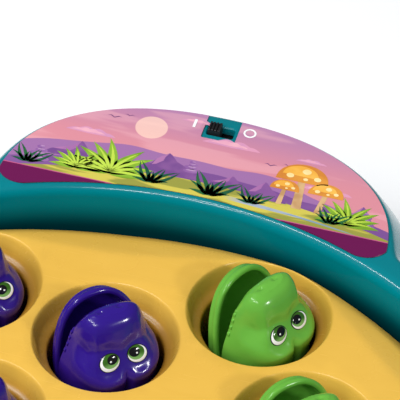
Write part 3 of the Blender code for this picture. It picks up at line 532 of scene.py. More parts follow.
def metal(name, colour, tarnish, lines):
    """Drawn or rolled metal."""
    made, tree, shader, where = empty_material(name)
    look = use_group(tree, drawn_metal, {
        "Coordinates": where, "Colour": colour, "Tarnish": tarnish, "Lines": lines,
    })
    wire_look(tree, shader, look, 0.2, 0.03 * MM)
    shader.inputs["Metallic"].default_value = 1.0
    return made


def paint_shade(tree, shader, lit, tint):
    """Painted shade: the shader's colour, times a tint where it isn't lit."""
    old = shader.inputs["Base Color"].links[0].from_socket
    deep = blend_colours(tree, 1.0, old, tint, "MULTIPLY")
    tree.links.new(blend_colours(tree, lit, deep, old), shader.inputs["Base Color"])


def well_teal():
    """The housing's teal, with painted shade that darkens it down in the well, where its reflection is also turned
    down.
    """
    made = plastic("teal_well", TEAL, TEAL_DEEP, 0.16, drift=0.5, scuffs=0.03, grain=0.05)
    tree = made.node_tree
    shader = tree.nodes["Principled BSDF"]
    across, along, high = axes_of(tree, tree.nodes.new("ShaderNodeTexCoord").outputs["Object"])
    flat = node(tree, "ShaderNodeCombineXYZ", {0: across, 1: along}).outputs[0]
    radius = node(tree, "ShaderNodeVectorMath", {0: flat}, operation="LENGTH").outputs["Value"]
    outside = ramp(tree, radius, WELL_R + 0.3 * MM, WELL_R + 1.3 * MM)
    risen = ramp(tree, high, HOUSING_TOP - 13.5 * MM, HOUSING_TOP - 3.5 * MM)
    # Painted shade: the wall of the well is darkened towards its foot, while the top and the outside keep their
    # teal.
    paint_shade(tree, shader, maths(tree, "MAXIMUM", outside, risen), (0.18, 0.18, 0.18))
    dull = plus(tree, 0.03, times(tree, outside, 0.47))
    tree.links.new(dull, shader.inputs["Specular IOR Level"])
    return made


def disc_yellow():
    """The disc's yellow, with painted shade that makes it deeper and browner down in the funnels."""
    made = plastic(
        "yellow_disc", (0.75, 0.450, 0.070), (0.69, 0.40, 0.054), 0.27, drift=0.6, grain=0.5
    )
    tree = made.node_tree
    high = axes_of(tree, tree.nodes.new("ShaderNodeTexCoord").outputs["Object"])[2]
    # Painted shade: darker and browner below the disc's face, down in the funnels.
    lit_above_funnels = ramp(tree, high, DISC_TOP - 7.5 * MM, DISC_TOP - 1.6 * MM)
    paint_shade(tree, tree.nodes["Principled BSDF"], lit_above_funnels, (0.42, 0.26, 0.06))
    return made


teal = plastic("teal_shell", TEAL, TEAL_DEEP, 0.16, drift=0.5, scuffs=0.03, grain=0.2)
shell = well_teal()
yellow = disc_yellow()
purple = plastic(
    "purple_dinosaur", (0.027, 0.008, 0.220), (0.022, 0.006, 0.18), 0.17,
    drift=0.5, scuffs=0.02, grain=0.15,
)
green = plastic(
    "green_dinosaur", (0.135, 0.42, 0.050), (0.105, 0.34, 0.034), 0.19,
    drift=0.5, scuffs=0.02, grain=0.15,
)
black = plastic(
    "black_switch", (0.014, 0.014, 0.016), (0.008, 0.008, 0.009), 0.42,
    drift=0.5, scuffs=0.12, grain=0.6,
)
grey = plastic("grey_track", (0.36, 0.37, 0.38), (0.30, 0.31, 0.32), 0.5, scuffs=0.15, grain=0.6)
white = plastic("white_gear", (0.72, 0.71, 0.67), (0.62, 0.61, 0.56), 0.42, scuffs=0.1, grain=0.4)
red = plastic("red_lead", (0.42, 0.015, 0.015), (0.34, 0.01, 0.01), 0.42, scuffs=0.1)
steel = metal("plated_steel", (0.62, 0.62, 0.62), (0.42, 0.41, 0.39), 0.25)


# Pockets

def pockets():
    """Each pocket's number, its place and the way that its dinosaur faces."""
    found = []
    hinges = {joint["name"]: joint for joint in frame["joints"]}
    for number in range(1, 22):
        hinge = hinges[f"jaw_{number:02d}_hinge"]
        axis = Vector(hinge["axis"])
        faces = math.atan2(axis.y, axis.x)
        back = Vector((math.sin(faces), -math.cos(faces), 0.0)) * HINGE_BACK
        spot = Vector(hinge["pos_m"]) + back
        found.append((number, spot.x, spot.y, faces))
    return found


POCKETS = pockets()


# Disc

def disc_drop(x, y):
    """How far the disc's face falls below its flat at a place: the valleys at the rim, and its edge."""
    radius = math.hypot(x, y)
    turn = math.atan2(x, y) - VALLEY_TURN
    apart = min(abs((turn - step + THIRD / 2) % THIRD - THIRD / 2) for step in VALLEY_STEPS)
    land_edge = LAND_EDGE_R + LAND_EDGE_RISE * (apart / LAND_EDGE_TURN) ** LAND_EDGE_POWER
    past = radius - land_edge
    soft = 0.5 * (past + math.sqrt(past * past + VALLEY_SOFT * VALLEY_SOFT))
    drop = VALLEY_SLOPE * max(soft - 0.1 * VALLEY_SOFT, 0.0) if past > -3 * VALLEY_SOFT else 0.0
    over = max(radius - (DISC_R - EDGE_FALL_WIDE), 0.0) / EDGE_FALL_WIDE
    return drop + EDGE_FALL * over * over


def pull_in(x, y):
    """A funnel's point, kept inside the disc's edge."""
    radius = math.hypot(x, y)
    if radius <= PULL_FROM_R:
        return x, y
    kept = min(radius - PULL * (radius - PULL_FROM_R) ** 2, PULL_KEEP_R)
    return x * kept / radius, y * kept / radius


def funnel_ring(x, y, radius, drop):
    """A ring of a pocket's funnel, which starts on the disc's face and ends level."""
    ring = []
    for i in range(LOOP_POINTS):
        turn = 2 * math.pi * i / LOOP_POINTS
        px, py = pull_in(x + radius * math.cos(turn), y + radius * math.sin(turn))
        land = disc_drop(px, py) * (1 - drop / FUNNEL[-1][1])
        ring.append(Vector((px, py, DISC_TOP - drop - land)))
    return ring


def edge_ring(radius, level=0.0):
    """A ring at the disc's edge or on its skirt."""
    return [on_arc(2 * math.pi * i / EDGE_POINTS, radius, level) for i in range(EDGE_POINTS)]


def flat_sheet(outer, holes, inside=()):
    """Points and triangles that fill a flat outline, with its holes, through given points."""
    flat, edges = [], []
    for loop in [outer, *holes]:
        start = len(flat)
        flat += loop
        edges += [(start + i, start + (i + 1) % len(loop)) for i in range(len(loop))]
    to_mm = 1000.0
    flat = [point.to_2d() * to_mm for point in [*flat, *inside]]
    found, _, faces, _, _, _ = delaunay_2d_cdt(flat, edges, [], 0, 0.00001 * MM)
    return [Vector((point.x / to_mm, point.y / to_mm, 0.0)) for point in found], faces


def outside_holes(points, faces, hub_r, pocket_r):
    """The faces of a flat sheet that fill neither the hub's hole nor a pocket's."""
    kept = []
    spots = [Vector((x, y, 0.0)) for _, x, y, _ in POCKETS]
    for face in faces:
        middle = sum((points[i] for i in face), Vector()) / len(face)
        near = min(spots, key=lambda spot: (middle - spot).length)
        in_pocket = (middle - near).length < pocket_r and all(
            (points[i] - near).length < pocket_r + 0.06 * MM for i in face
        )
        if middle.length > hub_r and not in_pocket:
            kept.append(face)
    return kept


def disc_top_sheet():
    """The disc's face between its edge, the pockets' rims and the hub."""
    rim_r = FUNNEL[0][0]
    holes = [funnel_ring(x, y, *FUNNEL[0]) for _, x, y, _ in POCKETS]
    holes.append(circle(HUB_BORE_R, 0.0, HUB_SIDES))
    inside = []
    rings = [(102.4 - 0.9 * i, 220) for i in range(14)] + [(89 - 4 * i, 90) for i in range(20)]
    for radius, count in rings:
        for i in range(count):
            point = on_arc(2 * math.pi / count * (i + 0.5), radius * MM)
            clear = all(math.hypot(point.x - x, point.y - y) > rim_r + 0.6 * MM for _, x, y, _ in POCKETS)
            if clear and radius * MM > HUB_BORE_R + 2 * MM:
                inside.append(point)
    points, faces = flat_sheet(edge_ring(DISC_R - SMALL_ROUND), holes, inside)
    kept = outside_holes(points, faces, HUB_BORE_R * 0.99, rim_r - 0.01 * MM)
    for point in points:
        point.z = DISC_TOP - disc_drop(point.x, point.y)
    return points, kept


def disc_rim():
    """Rings from the disc's face round its edge, down the skirt and up its inner side."""
    falls = [disc_drop(point.x, point.y) for point in edge_ring(DISC_R - SMALL_ROUND)]
    rings = []
    for inset, drop in ((0.3, 0.0), (0.14, 0.1), (0.04, 0.26), (0.0, 0.5)):
        ring = edge_ring(DISC_R - inset * MM, DISC_TOP - drop * MM)
        for point, fall in zip(ring, falls):
            point.z -= fall
        rings.append(ring)
    inner_r = DISC_R - SKIRT_WALL
    return rings + [edge_ring(radius, level) for radius, level in (
        (DISC_R, SKIRT_BOTTOM + SMALL_ROUND), (DISC_R - SMALL_ROUND, SKIRT_BOTTOM),
        (inner_r + SMALL_ROUND, SKIRT_BOTTOM), (inner_r, SKIRT_BOTTOM + SMALL_ROUND), (inner_r, SLAB_LOW),
    )]


def make_disc_mesh():
    """The whole disc: face, funnels, bores, sleeves, edge, skirt and underside."""
    points, faces = disc_top_sheet()
    sleeve = (
        (BORE_R, SLEEVE_BOTTOM + SMALL_ROUND), (BORE_R + SMALL_ROUND, SLEEVE_BOTTOM),
        (SLEEVE_R - SMALL_ROUND, SLEEVE_BOTTOM), (SLEEVE_R, SLEEVE_BOTTOM + SMALL_ROUND),
        (SLEEVE_R, SLAB_LOW),
    )
    for _, x, y, _ in POCKETS:
        rings = [funnel_ring(x, y, radius, drop) for radius, drop in FUNNEL]
        rings += [circle(radius, level, LOOP_POINTS, (x, y)) for radius, level in sleeve]
        add_to(points, faces, *loft(rings))
    add_to(points, faces, *loft(disc_rim()))
    hub = (
        (HUB_BORE_R, DISC_TOP - disc_drop(0.0, 0.0)), (HUB_BORE_R, HUB_LOW), (HUB_R, HUB_LOW),
        (HUB_R, SLAB_LOW),
    )
    add_to(points, faces, *loft([circle(radius, level, HUB_SIDES) for radius, level in hub]))

    holes = [circle(SLEEVE_R, 0.0, LOOP_POINTS, (x, y)) for _, x, y, _ in POCKETS]
    holes.append(circle(HUB_R, 0.0, HUB_SIDES))
    under, made = flat_sheet(edge_ring(DISC_R - SKIRT_WALL), holes)
    made = outside_holes(under, made, HUB_R * 0.99, SLEEVE_R * 0.999)
    for point in under:
        point.z = SLAB_LOW
    add_to(points, faces, under, made)
    return soften(mesh_from("disc", points, faces, weld=True), 50)


# Housing

def lobe_radius(turn, grow):
    """Distance from the axis to the lobe's rounded outline, or zero where it does not reach."""
    if abs(turn) > math.pi / 3:
        return 0.0
    half_x, half_y = LOBE_HALF_X + grow, LOBE_HALF_Y + grow

    def inside(radius):
        across = abs(radius * math.sin(turn)) / half_x
        along = max(radius * math.cos(turn) - LOBE_CENTRE_Y, 0.0) / half_y
        return across ** LOBE_POWER + along ** LOBE_POWER < 1

    return last_true(inside, LOBE_CENTRE_Y, LOBE_CENTRE_Y + half_x + half_y)


def outline_turns():
    """Angles round the outline, closer together along the lobe."""
    lobe = [-OUTLINE_LOBE + 2 * OUTLINE_LOBE * i / 180 for i in range(180)]
    rest = 2 * math.pi - 2 * OUTLINE_LOBE
    return lobe + [OUTLINE_LOBE + rest * i / 200 for i in range(200)]


TURNS = outline_turns()


def outline(grow, level):
    """The housing's outline, grown by a distance, at a height."""
    ring = TOP_EDGE_R + grow
    points = []
    for turn in TURNS:
        blend = 1 + (lobe_radius(turn, grow) / ring) ** LOBE_BLEND
        points.append(on_arc(turn, ring * blend ** (1 / LOBE_BLEND), level))
    return points


def well_ring(radius, level):
    """A circle with a point at each of the outline's angles."""
    return [on_arc(turn, radius, level) for turn in TURNS]


def screw_places():
    """Where the housing's six screws stand."""
    return [on_arc(math.radians(35 + 60 * i), BOSS_PLACE_R) for i in range(6)]


def rounded_box(half_x, half_y, corner, levels, grow=(0.0, 0.0), centre=(0.0, 0.0)):
    """A closed block with round corners seen from above, that may grow towards its top."""
    rings = []
    for level, more in zip(levels, grow):
        ring = []
        for quarter, (sign_x, sign_y) in enumerate(((1, 1), (-1, 1), (-1, -1), (1, -1))):
            middle_x = centre[0] + sign_x * (half_x - corner)
            middle_y = centre[1] + sign_y * (half_y - corner)
            for i in range(7):
                turn = math.radians(90 * quarter + 15 * i)
                reach = corner + more
                ring.append(Vector((
                    middle_x + reach * math.cos(turn), middle_y + reach * math.sin(turn), level,
                )))
        rings.append(ring)
    return mesh_from("block", *loft(rings, capped=True))


def make_housing_mesh():
    """The upper shell: outer wall, round shoulder, flat top and the wall of the well."""
    under = HOUSING_TOP - HOUSING_WALL
    well_top_r = WELL_R + WELL_ROUND
    well_low = HOUSING_TOP - WELL_DEEP
    well_out_r = WELL_R + HOUSING_WALL
    rings = [outline(WALL_GROW, HOUSING_LOW), outline(WALL_GROW - 0.05 * MM, HOUSING_LOW + 0.4 * MM)]
    rings += [outline(grow * MM, HOUSING_TOP - drop * MM) for grow, drop in SHOULDER]
    rings.append(well_ring(well_top_r + SMALL_ROUND, HOUSING_TOP))
    for i in range(ROUND_STEPS + 1):
        turn = math.radians(90) * i / ROUND_STEPS
        radius = well_top_r - WELL_ROUND * math.sin(turn)
        rings.append(well_ring(radius, HOUSING_TOP - WELL_ROUND * (1 - math.cos(turn))))
    rings += [
        well_ring(WELL_R, well_low + SMALL_ROUND), well_ring(WELL_R + SMALL_ROUND, well_low),
        well_ring(well_out_r, well_low), well_ring(well_out_r, under),
        outline(-SHOULDER_SET_IN, under),
        outline(SHOULDER_WIDE - HOUSING_WALL, HOUSING_TOP - SHOULDER_HIGH - SHOULDER_SET_IN),
        outline(WALL_GROW - HOUSING_WALL, HOUSING_LOW),
    ]
    upper = mesh_from("housing", *loft(rings, closed_section=True))
    slot = rounded_box(
        SLOT_X / 2, SLOT_Y / 2, SLOT_CORNER, (under - MM, HOUSING_TOP + MM), centre=(0.0, SWITCH_Y),
    )
    chamfer = rounded_box(
        SLOT_X / 2, SLOT_Y / 2, SLOT_CORNER, (HOUSING_TOP - 0.25 * MM, HOUSING_TOP + 0.05 * MM),
        grow=(0.0, 0.3 * MM), centre=(0.0, SWITCH_Y),
    )
    return soften(cut_away(upper, [slot, chamfer], "housing"), 35)


def make_posts_mesh():
    """The screw posts under the housing's top, and the two that carry the gear case."""
    points, faces = [], []
    posts = [(place, BOSS_R, HOUSING_LOW, BOSS_TOP) for place in screw_places()]
    case_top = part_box("gear_case")[1].z + 0.3 * MM
    sideways = on_arc(DRIVE_TURN + math.radians(90), 1.0)
    for across, out in ((-17.0 * MM, 22.1 * MM), (14.4 * MM, 10.5 * MM)):
        place = on_arc(DRIVE_TURN, WELL_R + out) + sideways * across
        posts.append((place, 2.3 * MM, case_top, HOUSING_TOP - 1.6 * MM))
    for place, outer, bottom, top in posts:
        profile = (
            (outer, top), (outer, bottom + SMALL_ROUND), (outer - SMALL_ROUND, bottom), (POST_BORE_R, bottom),
            (POST_BORE_R, bottom + 8.7 * MM), (TIP_R, bottom + 9.2 * MM),
        )
        rings = [circle(radius, level, 28, (place.x, place.y)) for radius, level in profile]
        add_to(points, faces, *loft(rings, capped=True))
    return soften(mesh_from("housing_posts", points, faces), 40)


# Base

def round_hole(place, radius, low, high):
    """A closed cutter for a round hole."""
    spot = (place.x, place.y)
    rings = [circle(radius, low, 32, spot), circle(radius, high, 32, spot)]
    return mesh_from("hole", *loft(rings, capped=True))


def at_bay(half_x, half_y, corner, levels, grow=(0.0, 0.0), across=0.0):
    """A block with round corners, in line with the battery bay."""
    centre = (across, BAY_IN_R + BAY_DEEP / 2)
    block = rounded_box(half_x, half_y, corner, levels, grow, centre)
    block.transform(Matrix.Rotation(-BAY_TURN, 4, "Z"))
    return block


def make_base_mesh():
    """The tray under everything, with its lip, the battery's opening and the recesses below."""
    inside = WALL_GROW - HOUSING_WALL - 0.5 * MM
    lip_top = BASE_THICK + 5.0 * MM
    rings = [
        outline(WALL_GROW - 0.5 * MM, 0.0), outline(WALL_GROW - 0.15 * MM, 0.15 * MM),
        outline(WALL_GROW, 0.5 * MM), outline(WALL_GROW, BASE_THICK), outline(inside, BASE_THICK),
        outline(inside, lip_top - SMALL_ROUND), outline(inside - SMALL_ROUND, lip_top),
        outline(inside - 1.6 * MM, lip_top), outline(inside - 1.6 * MM, BASE_THICK),
    ]
    tray = mesh_from("base", *loft(rings, capped=True))
    low, high = -MM, BASE_THICK + MM
    lap = 1.5 * MM
    half_x = BAY_HALF + lap + DOOR_TAB / 2
    cutters = [
        at_bay(half_x, BAY_DEEP / 2 + lap, 0.8 * MM, (low, 2.3 * MM), across=DOOR_TAB / 2),
        at_bay(BAY_HALF, BAY_DEEP / 2, 0.5 * MM, (low, high)),
    ]
    for place in screw_places():
        cutters.append(round_hole(place, 3.1 * MM, low, 2.0 * MM))
        cutters.append(round_hole(place, 1.7 * MM, MM, high))
    recess_r = TOP_EDGE_R - 10.1 * MM
    cutters.append(lathe("recess", (
        (14.0 * MM, low), (recess_r, low), (recess_r - 0.2 * MM, MM), (14.2 * MM, MM),
    ), 160, closed_section=True))
    return soften(cut_away(tray, cutters, "base"), 35)


def make_works_mesh():
    """What stands on the tray: the spindle, the pinion's bearing and the battery bay's walls."""
    foot = BASE_THICK - 0.2 * MM
    shaft_r = 2.3 * MM
    top = SPINDLE_TOP
    spindle = lathe("spindle", (
        (TIP_R, top - 16.0 * MM), (1.8 * MM, top - 15.5 * MM), (1.8 * MM, top - 0.3 * MM),
        (2.1 * MM, top), (4.6 * MM, top), (5.0 * MM, top - 0.4 * MM), (5.0 * MM, 12.2 * MM),
        (5.2 * MM, 12.0 * MM), (7.7 * MM, 12.0 * MM), (HUB_R, 11.7 * MM), (HUB_R, foot), (TIP_R, foot),
    ), 48)
    bearing_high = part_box("ring_gear")[0].z - 0.3 * MM
    bearing = lathe("bearing", (
        (TIP_R, foot + 0.5 * MM), (shaft_r, foot + 0.5 * MM), (shaft_r, bearing_high - 0.2 * MM),
        (shaft_r + 0.2 * MM, bearing_high), (3.8 * MM, bearing_high), (4.0 * MM, bearing_high - 0.2 * MM),
        (4.0 * MM, foot), (TIP_R, foot),
    ), 40)
    bearing.transform(Matrix.Translation(on_arc(DRIVE_TURN, PINION_PLACE_R)))
    bay = at_bay(
        BAY_HALF, BAY_DEEP / 2, 0.5 * MM, (BAY_TOP, foot, foot, BAY_TOP + 0.7 * MM, BAY_TOP + BAY_WALL),
        (0.0, 0.0, BAY_WALL, BAY_WALL, BAY_WALL - 0.3 * MM),
    )
    points, faces = [], []
    for part in (spindle, bearing, bay):
        add_to(points, faces, *shape_of(part))
    return soften(mesh_from("works", points, faces), 40)


# Dinosaurs

# Sections of the face: height, half width and reach forwards, as shares
FACE = (
    (0.330, 0.985, 0.985), (0.500, 1.00, 1.00), (0.590, 0.99, 1.01), (0.650, 0.95, 1.00),
    (0.700, 0.89, 0.92), (0.750, 0.83, 0.825), (0.800, 0.78, 0.735), (0.850, 0.735, 0.66),
    (0.900, 0.69, 0.595), (0.945, 0.63, 0.53), (0.980, 0.54, 0.44), (1.000, 0.42, 0.32),
)
# Lumps and hollows of the face in millimetres: across, height, radius across and up, and how proud
LUMPS = (
    (4.6, 25.2, 3.1, 2.4, 0.9), (8.4, 27.4, 2.6, 3.2, 1.2), (3.6, 30.2, 2.7, 2.2, -0.30),
    (4.1, 27.5, 2.4, 0.6, 0.30), (3.6, 33.2, 2.6, 0.7, 0.18), (1.2, 28.6, 0.8, 1.2, 0.30),
    (6.0, 20.0, 4.0, 3.5, 0.4), (5.6, 35.0, 0.7, 2.6, 0.28), (8.0, 32.4, 0.55, 1.2, -0.25),
)
# The groove down the middle of the face: half width, height, half height and how proud
GROOVE = (0.55, 20.5, 7.5, -1.1)
# A nostril: its place across and ahead, its radius across and ahead, and its depth
NOSTRIL = (2.45 * MM, -1.75 * MM, 0.75 * MM, 0.55 * MM, 0.6 * MM)
# The flat top of the snout, which falls off towards the mouth
CROWN_Y = -2.6 * MM
CROWN_LOW = 33.5 * MM
CROWN_DROP = 1.3 * MM
CROWN_BEND = 0.05 / MM


def between(table, key, column):
    """A smooth curve through a table's rows."""
    for i in range(len(table) - 1):
        if key <= table[i + 1][0] or i == len(table) - 2:
            break
    before, start = table[max(i - 1, 0)], table[i]
    end, after = table[i + 1], table[min(i + 2, len(table) - 1)]
    span = end[0] - start[0]
    share = min(max((key - start[0]) / span, 0.0), 1.0)
    slope_in = (end[column] - before[column]) / (end[0] - before[0]) * span
    slope_out = (after[column] - start[column]) / (after[0] - start[0]) * span
    square, cube = share * share, share ** 3
    return (
        (2 * cube - 3 * square + 1) * start[column] + (cube - 2 * square + share) * slope_in
        + (3 * square - 2 * cube) * end[column] + (cube - square) * slope_out
    )


def face_plain(turn, high):
    """A point on the plain face: an angle from straight ahead, and a height."""
    share = high / HEAD_HIGH
    half = HEAD_R * between(FACE, share, 1)
    front = HEAD_R * between(FACE, share, 2)
    power = 2 / (2.3 + 0.9 * min(max((share - 0.8) / 0.2, 0.0), 1.0))
    across = half * math.copysign(abs(math.sin(turn)) ** power, math.sin(turn))
    ahead = (front + PALATE_BACK) * max(math.cos(turn), 0.0) ** power
    return Vector((across, PALATE_BACK - ahead, high))


def face_normal(turn, high):
    """The way that the plain face looks at a place, from two short steps on it."""
    step = 0.01
    most = math.radians(89.9)
    low, top = max(high - 0.2 * MM, 0.34 * HEAD_HIGH), min(high + 0.2 * MM, HEAD_HIGH)
    side = face_plain(min(turn + step, most), high) - face_plain(max(turn - step, -most), high)
    up = face_plain(turn, top) - face_plain(turn, low)
    return side.cross(up).normalized()


def face_point(turn, high):
    """A point on the modelled face, with its lumps and hollows."""
    spot = face_plain(turn, high)
    out = 0.0
    for x, z, wide, tall, proud in LUMPS:
        across = (abs(spot.x) - x * MM) / (wide * MM)
        along = (high - z * MM) / (tall * MM)
        out += proud * MM * math.exp(-across * across - along * along)
    wide, z, tall, proud = GROOVE
    across, along = spot.x / (wide * MM), (high - z * MM) / (tall * MM)
    out += proud * MM * math.exp(-across * across - along ** 4)
    fade = min(max(math.cos(turn), 0.0) * 3, 1.0) * min((high - 13.7 * MM) / (3 * MM), 1.0)
    fade *= min(max((HEAD_HIGH - high) / (0.8 * MM), 0.0), 1.0)
    if fade <= 0:
        return spot
    return spot + face_normal(turn, high) * out * fade


def eye_place(side):
    """The middle of an eye on the face, and the way that its flat seat looks."""
    turn = last_true(lambda angle: face_point(angle, EYE_LEVEL).x < EYE_SIDE, 0.0, math.radians(80))
    out = Vector((EYE_LOOK[0] * side, EYE_LOOK[1], EYE_LOOK[2])).normalized()
    return face_point(side * turn, EYE_LEVEL) + out * 0.15 * MM, out


def seated(spot, seats):
    """A point of the face, eased onto the flat seats of the eyes."""
    for middle, out in seats:
        apart = spot - middle
        off = apart.dot(out)
        away = (apart - out * off).length / EYE_WIDE
        if away < 2.0 and abs(off) < 4 * MM:
            ease = min(max((2.0 - away) / 0.95, 0.0), 1.0)
            spot = spot - out * off * ease * ease * (3 - 2 * ease)
    return spot


def crown_fall(x, y):
    """How far the snout's flat top falls towards the mouth, more at its sides."""
    lean = min(max((y - CROWN_Y) / (PALATE_BACK - CROWN_Y), 0.0), 1.3)
    return (CROWN_DROP + CROWN_BEND * x * x) * lean * lean


def nostril_depth(x, y):
    """How deep the two nostrils dip into the flat top of the snout."""
    side, ahead, wide, long, deep = NOSTRIL
    apart = math.hypot((abs(x) - side) / wide, (y - ahead) / long)
    return deep * math.exp(-apart * apart)


def palate_points(half, high):
    """Points across the palate at a height: a low lip at each side and a shallow hollow between."""
    round_in = min(0.45 * MM, half * 0.3)
    points = []
    for i in range(1, 16):
        share = 1 - 2 * i / 16
        edge = min((1 - abs(share)) * 8, 1.0)
        lip = 0.15 * MM * math.exp(-((abs(share) - 0.86) / 0.07) ** 2)
        hollow = 0.5 * MM * max(0.0, 1 - (share / 0.75) ** 2)
        points.append(Vector(((half - round_in) * share, PALATE_BACK + lip * edge - hollow, high)))
    return points


def face_ring(high, seats):
    """A ring round the head at a height: over the face from side to side, and back along the palate."""
    ring = []
    for i in range(FACE_COLUMNS + 1):
        turn = math.radians(90) * math.sin(math.radians(90) * (2 * i / FACE_COLUMNS - 1))
        ring.append(seated(face_point(turn, high), seats))
    half = ring[-1].x
    ring[0].y = ring[-1].y = PALATE_BACK - min(0.45 * MM, half * 0.3) * 0.6
    ring += palate_points(half, high)
    near_top = min(max((high - CROWN_LOW) / (HEAD_HIGH - CROWN_LOW), 0.0), 1.0)
    for spot in ring:
        spot.z -= crown_fall(spot.x, spot.y) * near_top
        if high > 38.5 * MM:
            spot.z -= nostril_depth(spot.x, spot.y)
    return ring


def snout_rings(top):
    """Rings that close the flat top of the snout, from its edge to its middle."""
    middle = sum(top, Vector()) / len(top)
    rise = 0.12 * MM
    rings = []
    for i in range(1, 12):
        ring = []
        for point in top:
            spot = middle.lerp(point, 1 - i / 12)
            low = crown_fall(spot.x, spot.y) + nostril_depth(spot.x, spot.y)
            spot.z = HEAD_HIGH + rise * i / 12 - low
            ring.append(spot)
        rings.append(ring)
    return rings


def tooth_rings(root, size):
    """Rings of a blunt tooth that points back out of the palate."""
    turns = [2 * math.pi * k / 12 for k in range(12)]
    return [
        [
            root + Vector((0.9 * radius * math.cos(turn), out, radius * math.sin(turn))) * size
            for turn in turns
        ]
        for radius, out in ((1.0, -0.6), (1.0, 0.0), (0.86, 0.30), (0.6, 0.52), (0.25, 0.62))
    ]


def make_head_mesh():
    """A dinosaur's body in its pocket, and the face that looks out, with teeth along the lip."""
    body = (
        (0.3, 0.0), (5.2, 0.0), (5.6, 0.15), (9.6, 2.6), (12.6, 4.6), (13.05, 5.1), (13.1, 5.6),
        (13.05, 7.0), (12.6, 7.7), (12.1, 8.3), (12.0, 9.2), (11.95, 13.2), (11.8, 13.55), (11.5, 13.7),
    )
    points, faces = loft([circle(radius * MM, level * MM, 72) for radius, level in body], capped=True)
    seats = [eye_place(side) for side in (-1, 1)]
    levels = [13.4 * MM + 25.6 * MM * i / 84 for i in range(85)]
    levels += [39.0 * MM + 0.7 * MM * math.sin(math.radians(90) * i / 6) for i in range(1, 7)]
    rings = [face_ring(high, seats) for high in levels]
    add_to(points, faces, *loft(rings + snout_rings(rings[-1]), capped=True))
    for corner, side in ((0, -1), (FACE_COLUMNS, 1)):
        for i in range(TEETH):
            level = (28.2 + 1.9 * i) * MM
            row = min(range(len(levels)), key=lambda k: abs(levels[k] - level))
            root = rings[row][corner] + Vector((-0.40 * side * MM, -0.10 * MM, 0.0))
            add_to(points, faces, *loft(tooth_rings(root, (0.80 - 0.03 * i) * MM), capped=True))
    return soften(mesh_from("head", points, faces), 48)


def jaw_point(turn, share, wall):
    """A point on the jaw's outer or inner side: round the back, and from its tip to its foot."""
    half, deep, high = HEAD_R - wall, JAW_DEEP - wall, JAW_HIGH - wall
    quarter = math.radians(90)

    def at(latitude):
        rise = math.sin(latitude)
        full = (1 - min(rise, 1.0) ** JAW_POWER) ** (1 / JAW_POWER)
        x, y, z = half * math.cos(turn) * full, deep * math.sin(turn) * full, high * rise
        return Vector((
            x, y * math.cos(JAW_OPEN) + z * math.sin(JAW_OPEN),
            z * math.cos(JAW_OPEN) - y * math.sin(JAW_OPEN),
        ))

    foot = last_true(lambda latitude: at(latitude).z < 0, 0.0, quarter)
    return at(foot + (quarter - foot) * (1 - share))


def jaw_ridge(from_rim, share):
    """How far the ridge and groove along the jaw's rim stand out."""
    ridge = 0.32 * math.exp(-((from_rim - 2.5 * MM) / (0.55 * MM)) ** 2)
    groove = -0.22 * math.exp(-((from_rim - 1.35 * MM) / (0.4 * MM)) ** 2)
    fade = min(share * 6, 1.0) * min((1 - share) * 10, 1.0)
    return (ridge + groove) * fade * MM


def jaw_side(wall, ridged):
    """Lines of points down the jaw's outer or inner side."""
    grid = []
    for i in range(JAW_COLUMNS + 1):
        turn = math.radians(90) * (1 - math.cos(math.pi * i / JAW_COLUMNS))
        line = []
        for j in range(JAW_LINES + 1):
            share = (j / JAW_LINES) ** 1.15
            spot = jaw_point(turn, share, wall)
            if ridged:
                out = spot - jaw_point(turn, share, wall + 0.3 * MM)
                out = out.normalized() if out.length > 0 else Vector((0, 0, 1))
                spot = spot + out * jaw_ridge(spot.dot(JAW_TILT), share)
            line.append(spot)
        grid.append(line)
    return grid


def make_jaw_mesh():
    """The lower jaw: a thin hollow shell with a rounded rim and a ridge along it."""
    sides = {"out": jaw_side(0.0, True), "in": jaw_side(JAW_WALL, False)}
    points, faces, index = [], [], {}
    for name, grid in sides.items():
        for i, line in enumerate(grid):
            for j, spot in enumerate(line):
                if j == 0 and i > 0:
                    index[name, i, j] = index[name, 0, 0]
                else:
                    index[name, i, j] = len(points)
                    points.append(spot)
    for name in sides:
        for i in range(JAW_COLUMNS):
            for j in range(JAW_LINES):
                square = ((i, j), (i, j + 1), (i + 1, j + 1), (i + 1, j))
                corners = tuple(dict.fromkeys(index[(name, *corner)] for corner in square))
                if len(corners) > 2:
                    faces.append(corners)

    down = range(JAW_LINES, 0, -1)
    edge = [(0, j) for j in down] + [(0, 0)] + [(JAW_COLUMNS, j) for j in reversed(down)]
    rim = []
    for i, j in edge:
        row = [index["out", i, j]]
        for k in range(1, RIM_STEPS):
            turn = math.pi * k / RIM_STEPS
            between_sides = sides["out"][i][j].lerp(sides["in"][i][j], 0.5 - 0.5 * math.cos(turn))
            row.append(len(points))
            points.append(between_sides - JAW_TILT * 0.5 * MM * math.sin(turn))
        row.append(index["in", i, j])
        rim.append(row)
    for first, second in zip(rim, rim[1:]):
        for k in range(RIM_STEPS):
            faces.append((first[k], first[k + 1], second[k + 1], second[k]))
    for i in range(JAW_COLUMNS):
        foot = (("out", i), ("out", i + 1), ("in", i + 1), ("in", i))
        faces.append(tuple(index[name, column, JAW_LINES] for name, column in foot))
    faces += [tuple(rim[0]), tuple(rim[-1])]
    return soften(mesh_from("jaw", points, faces), 50)


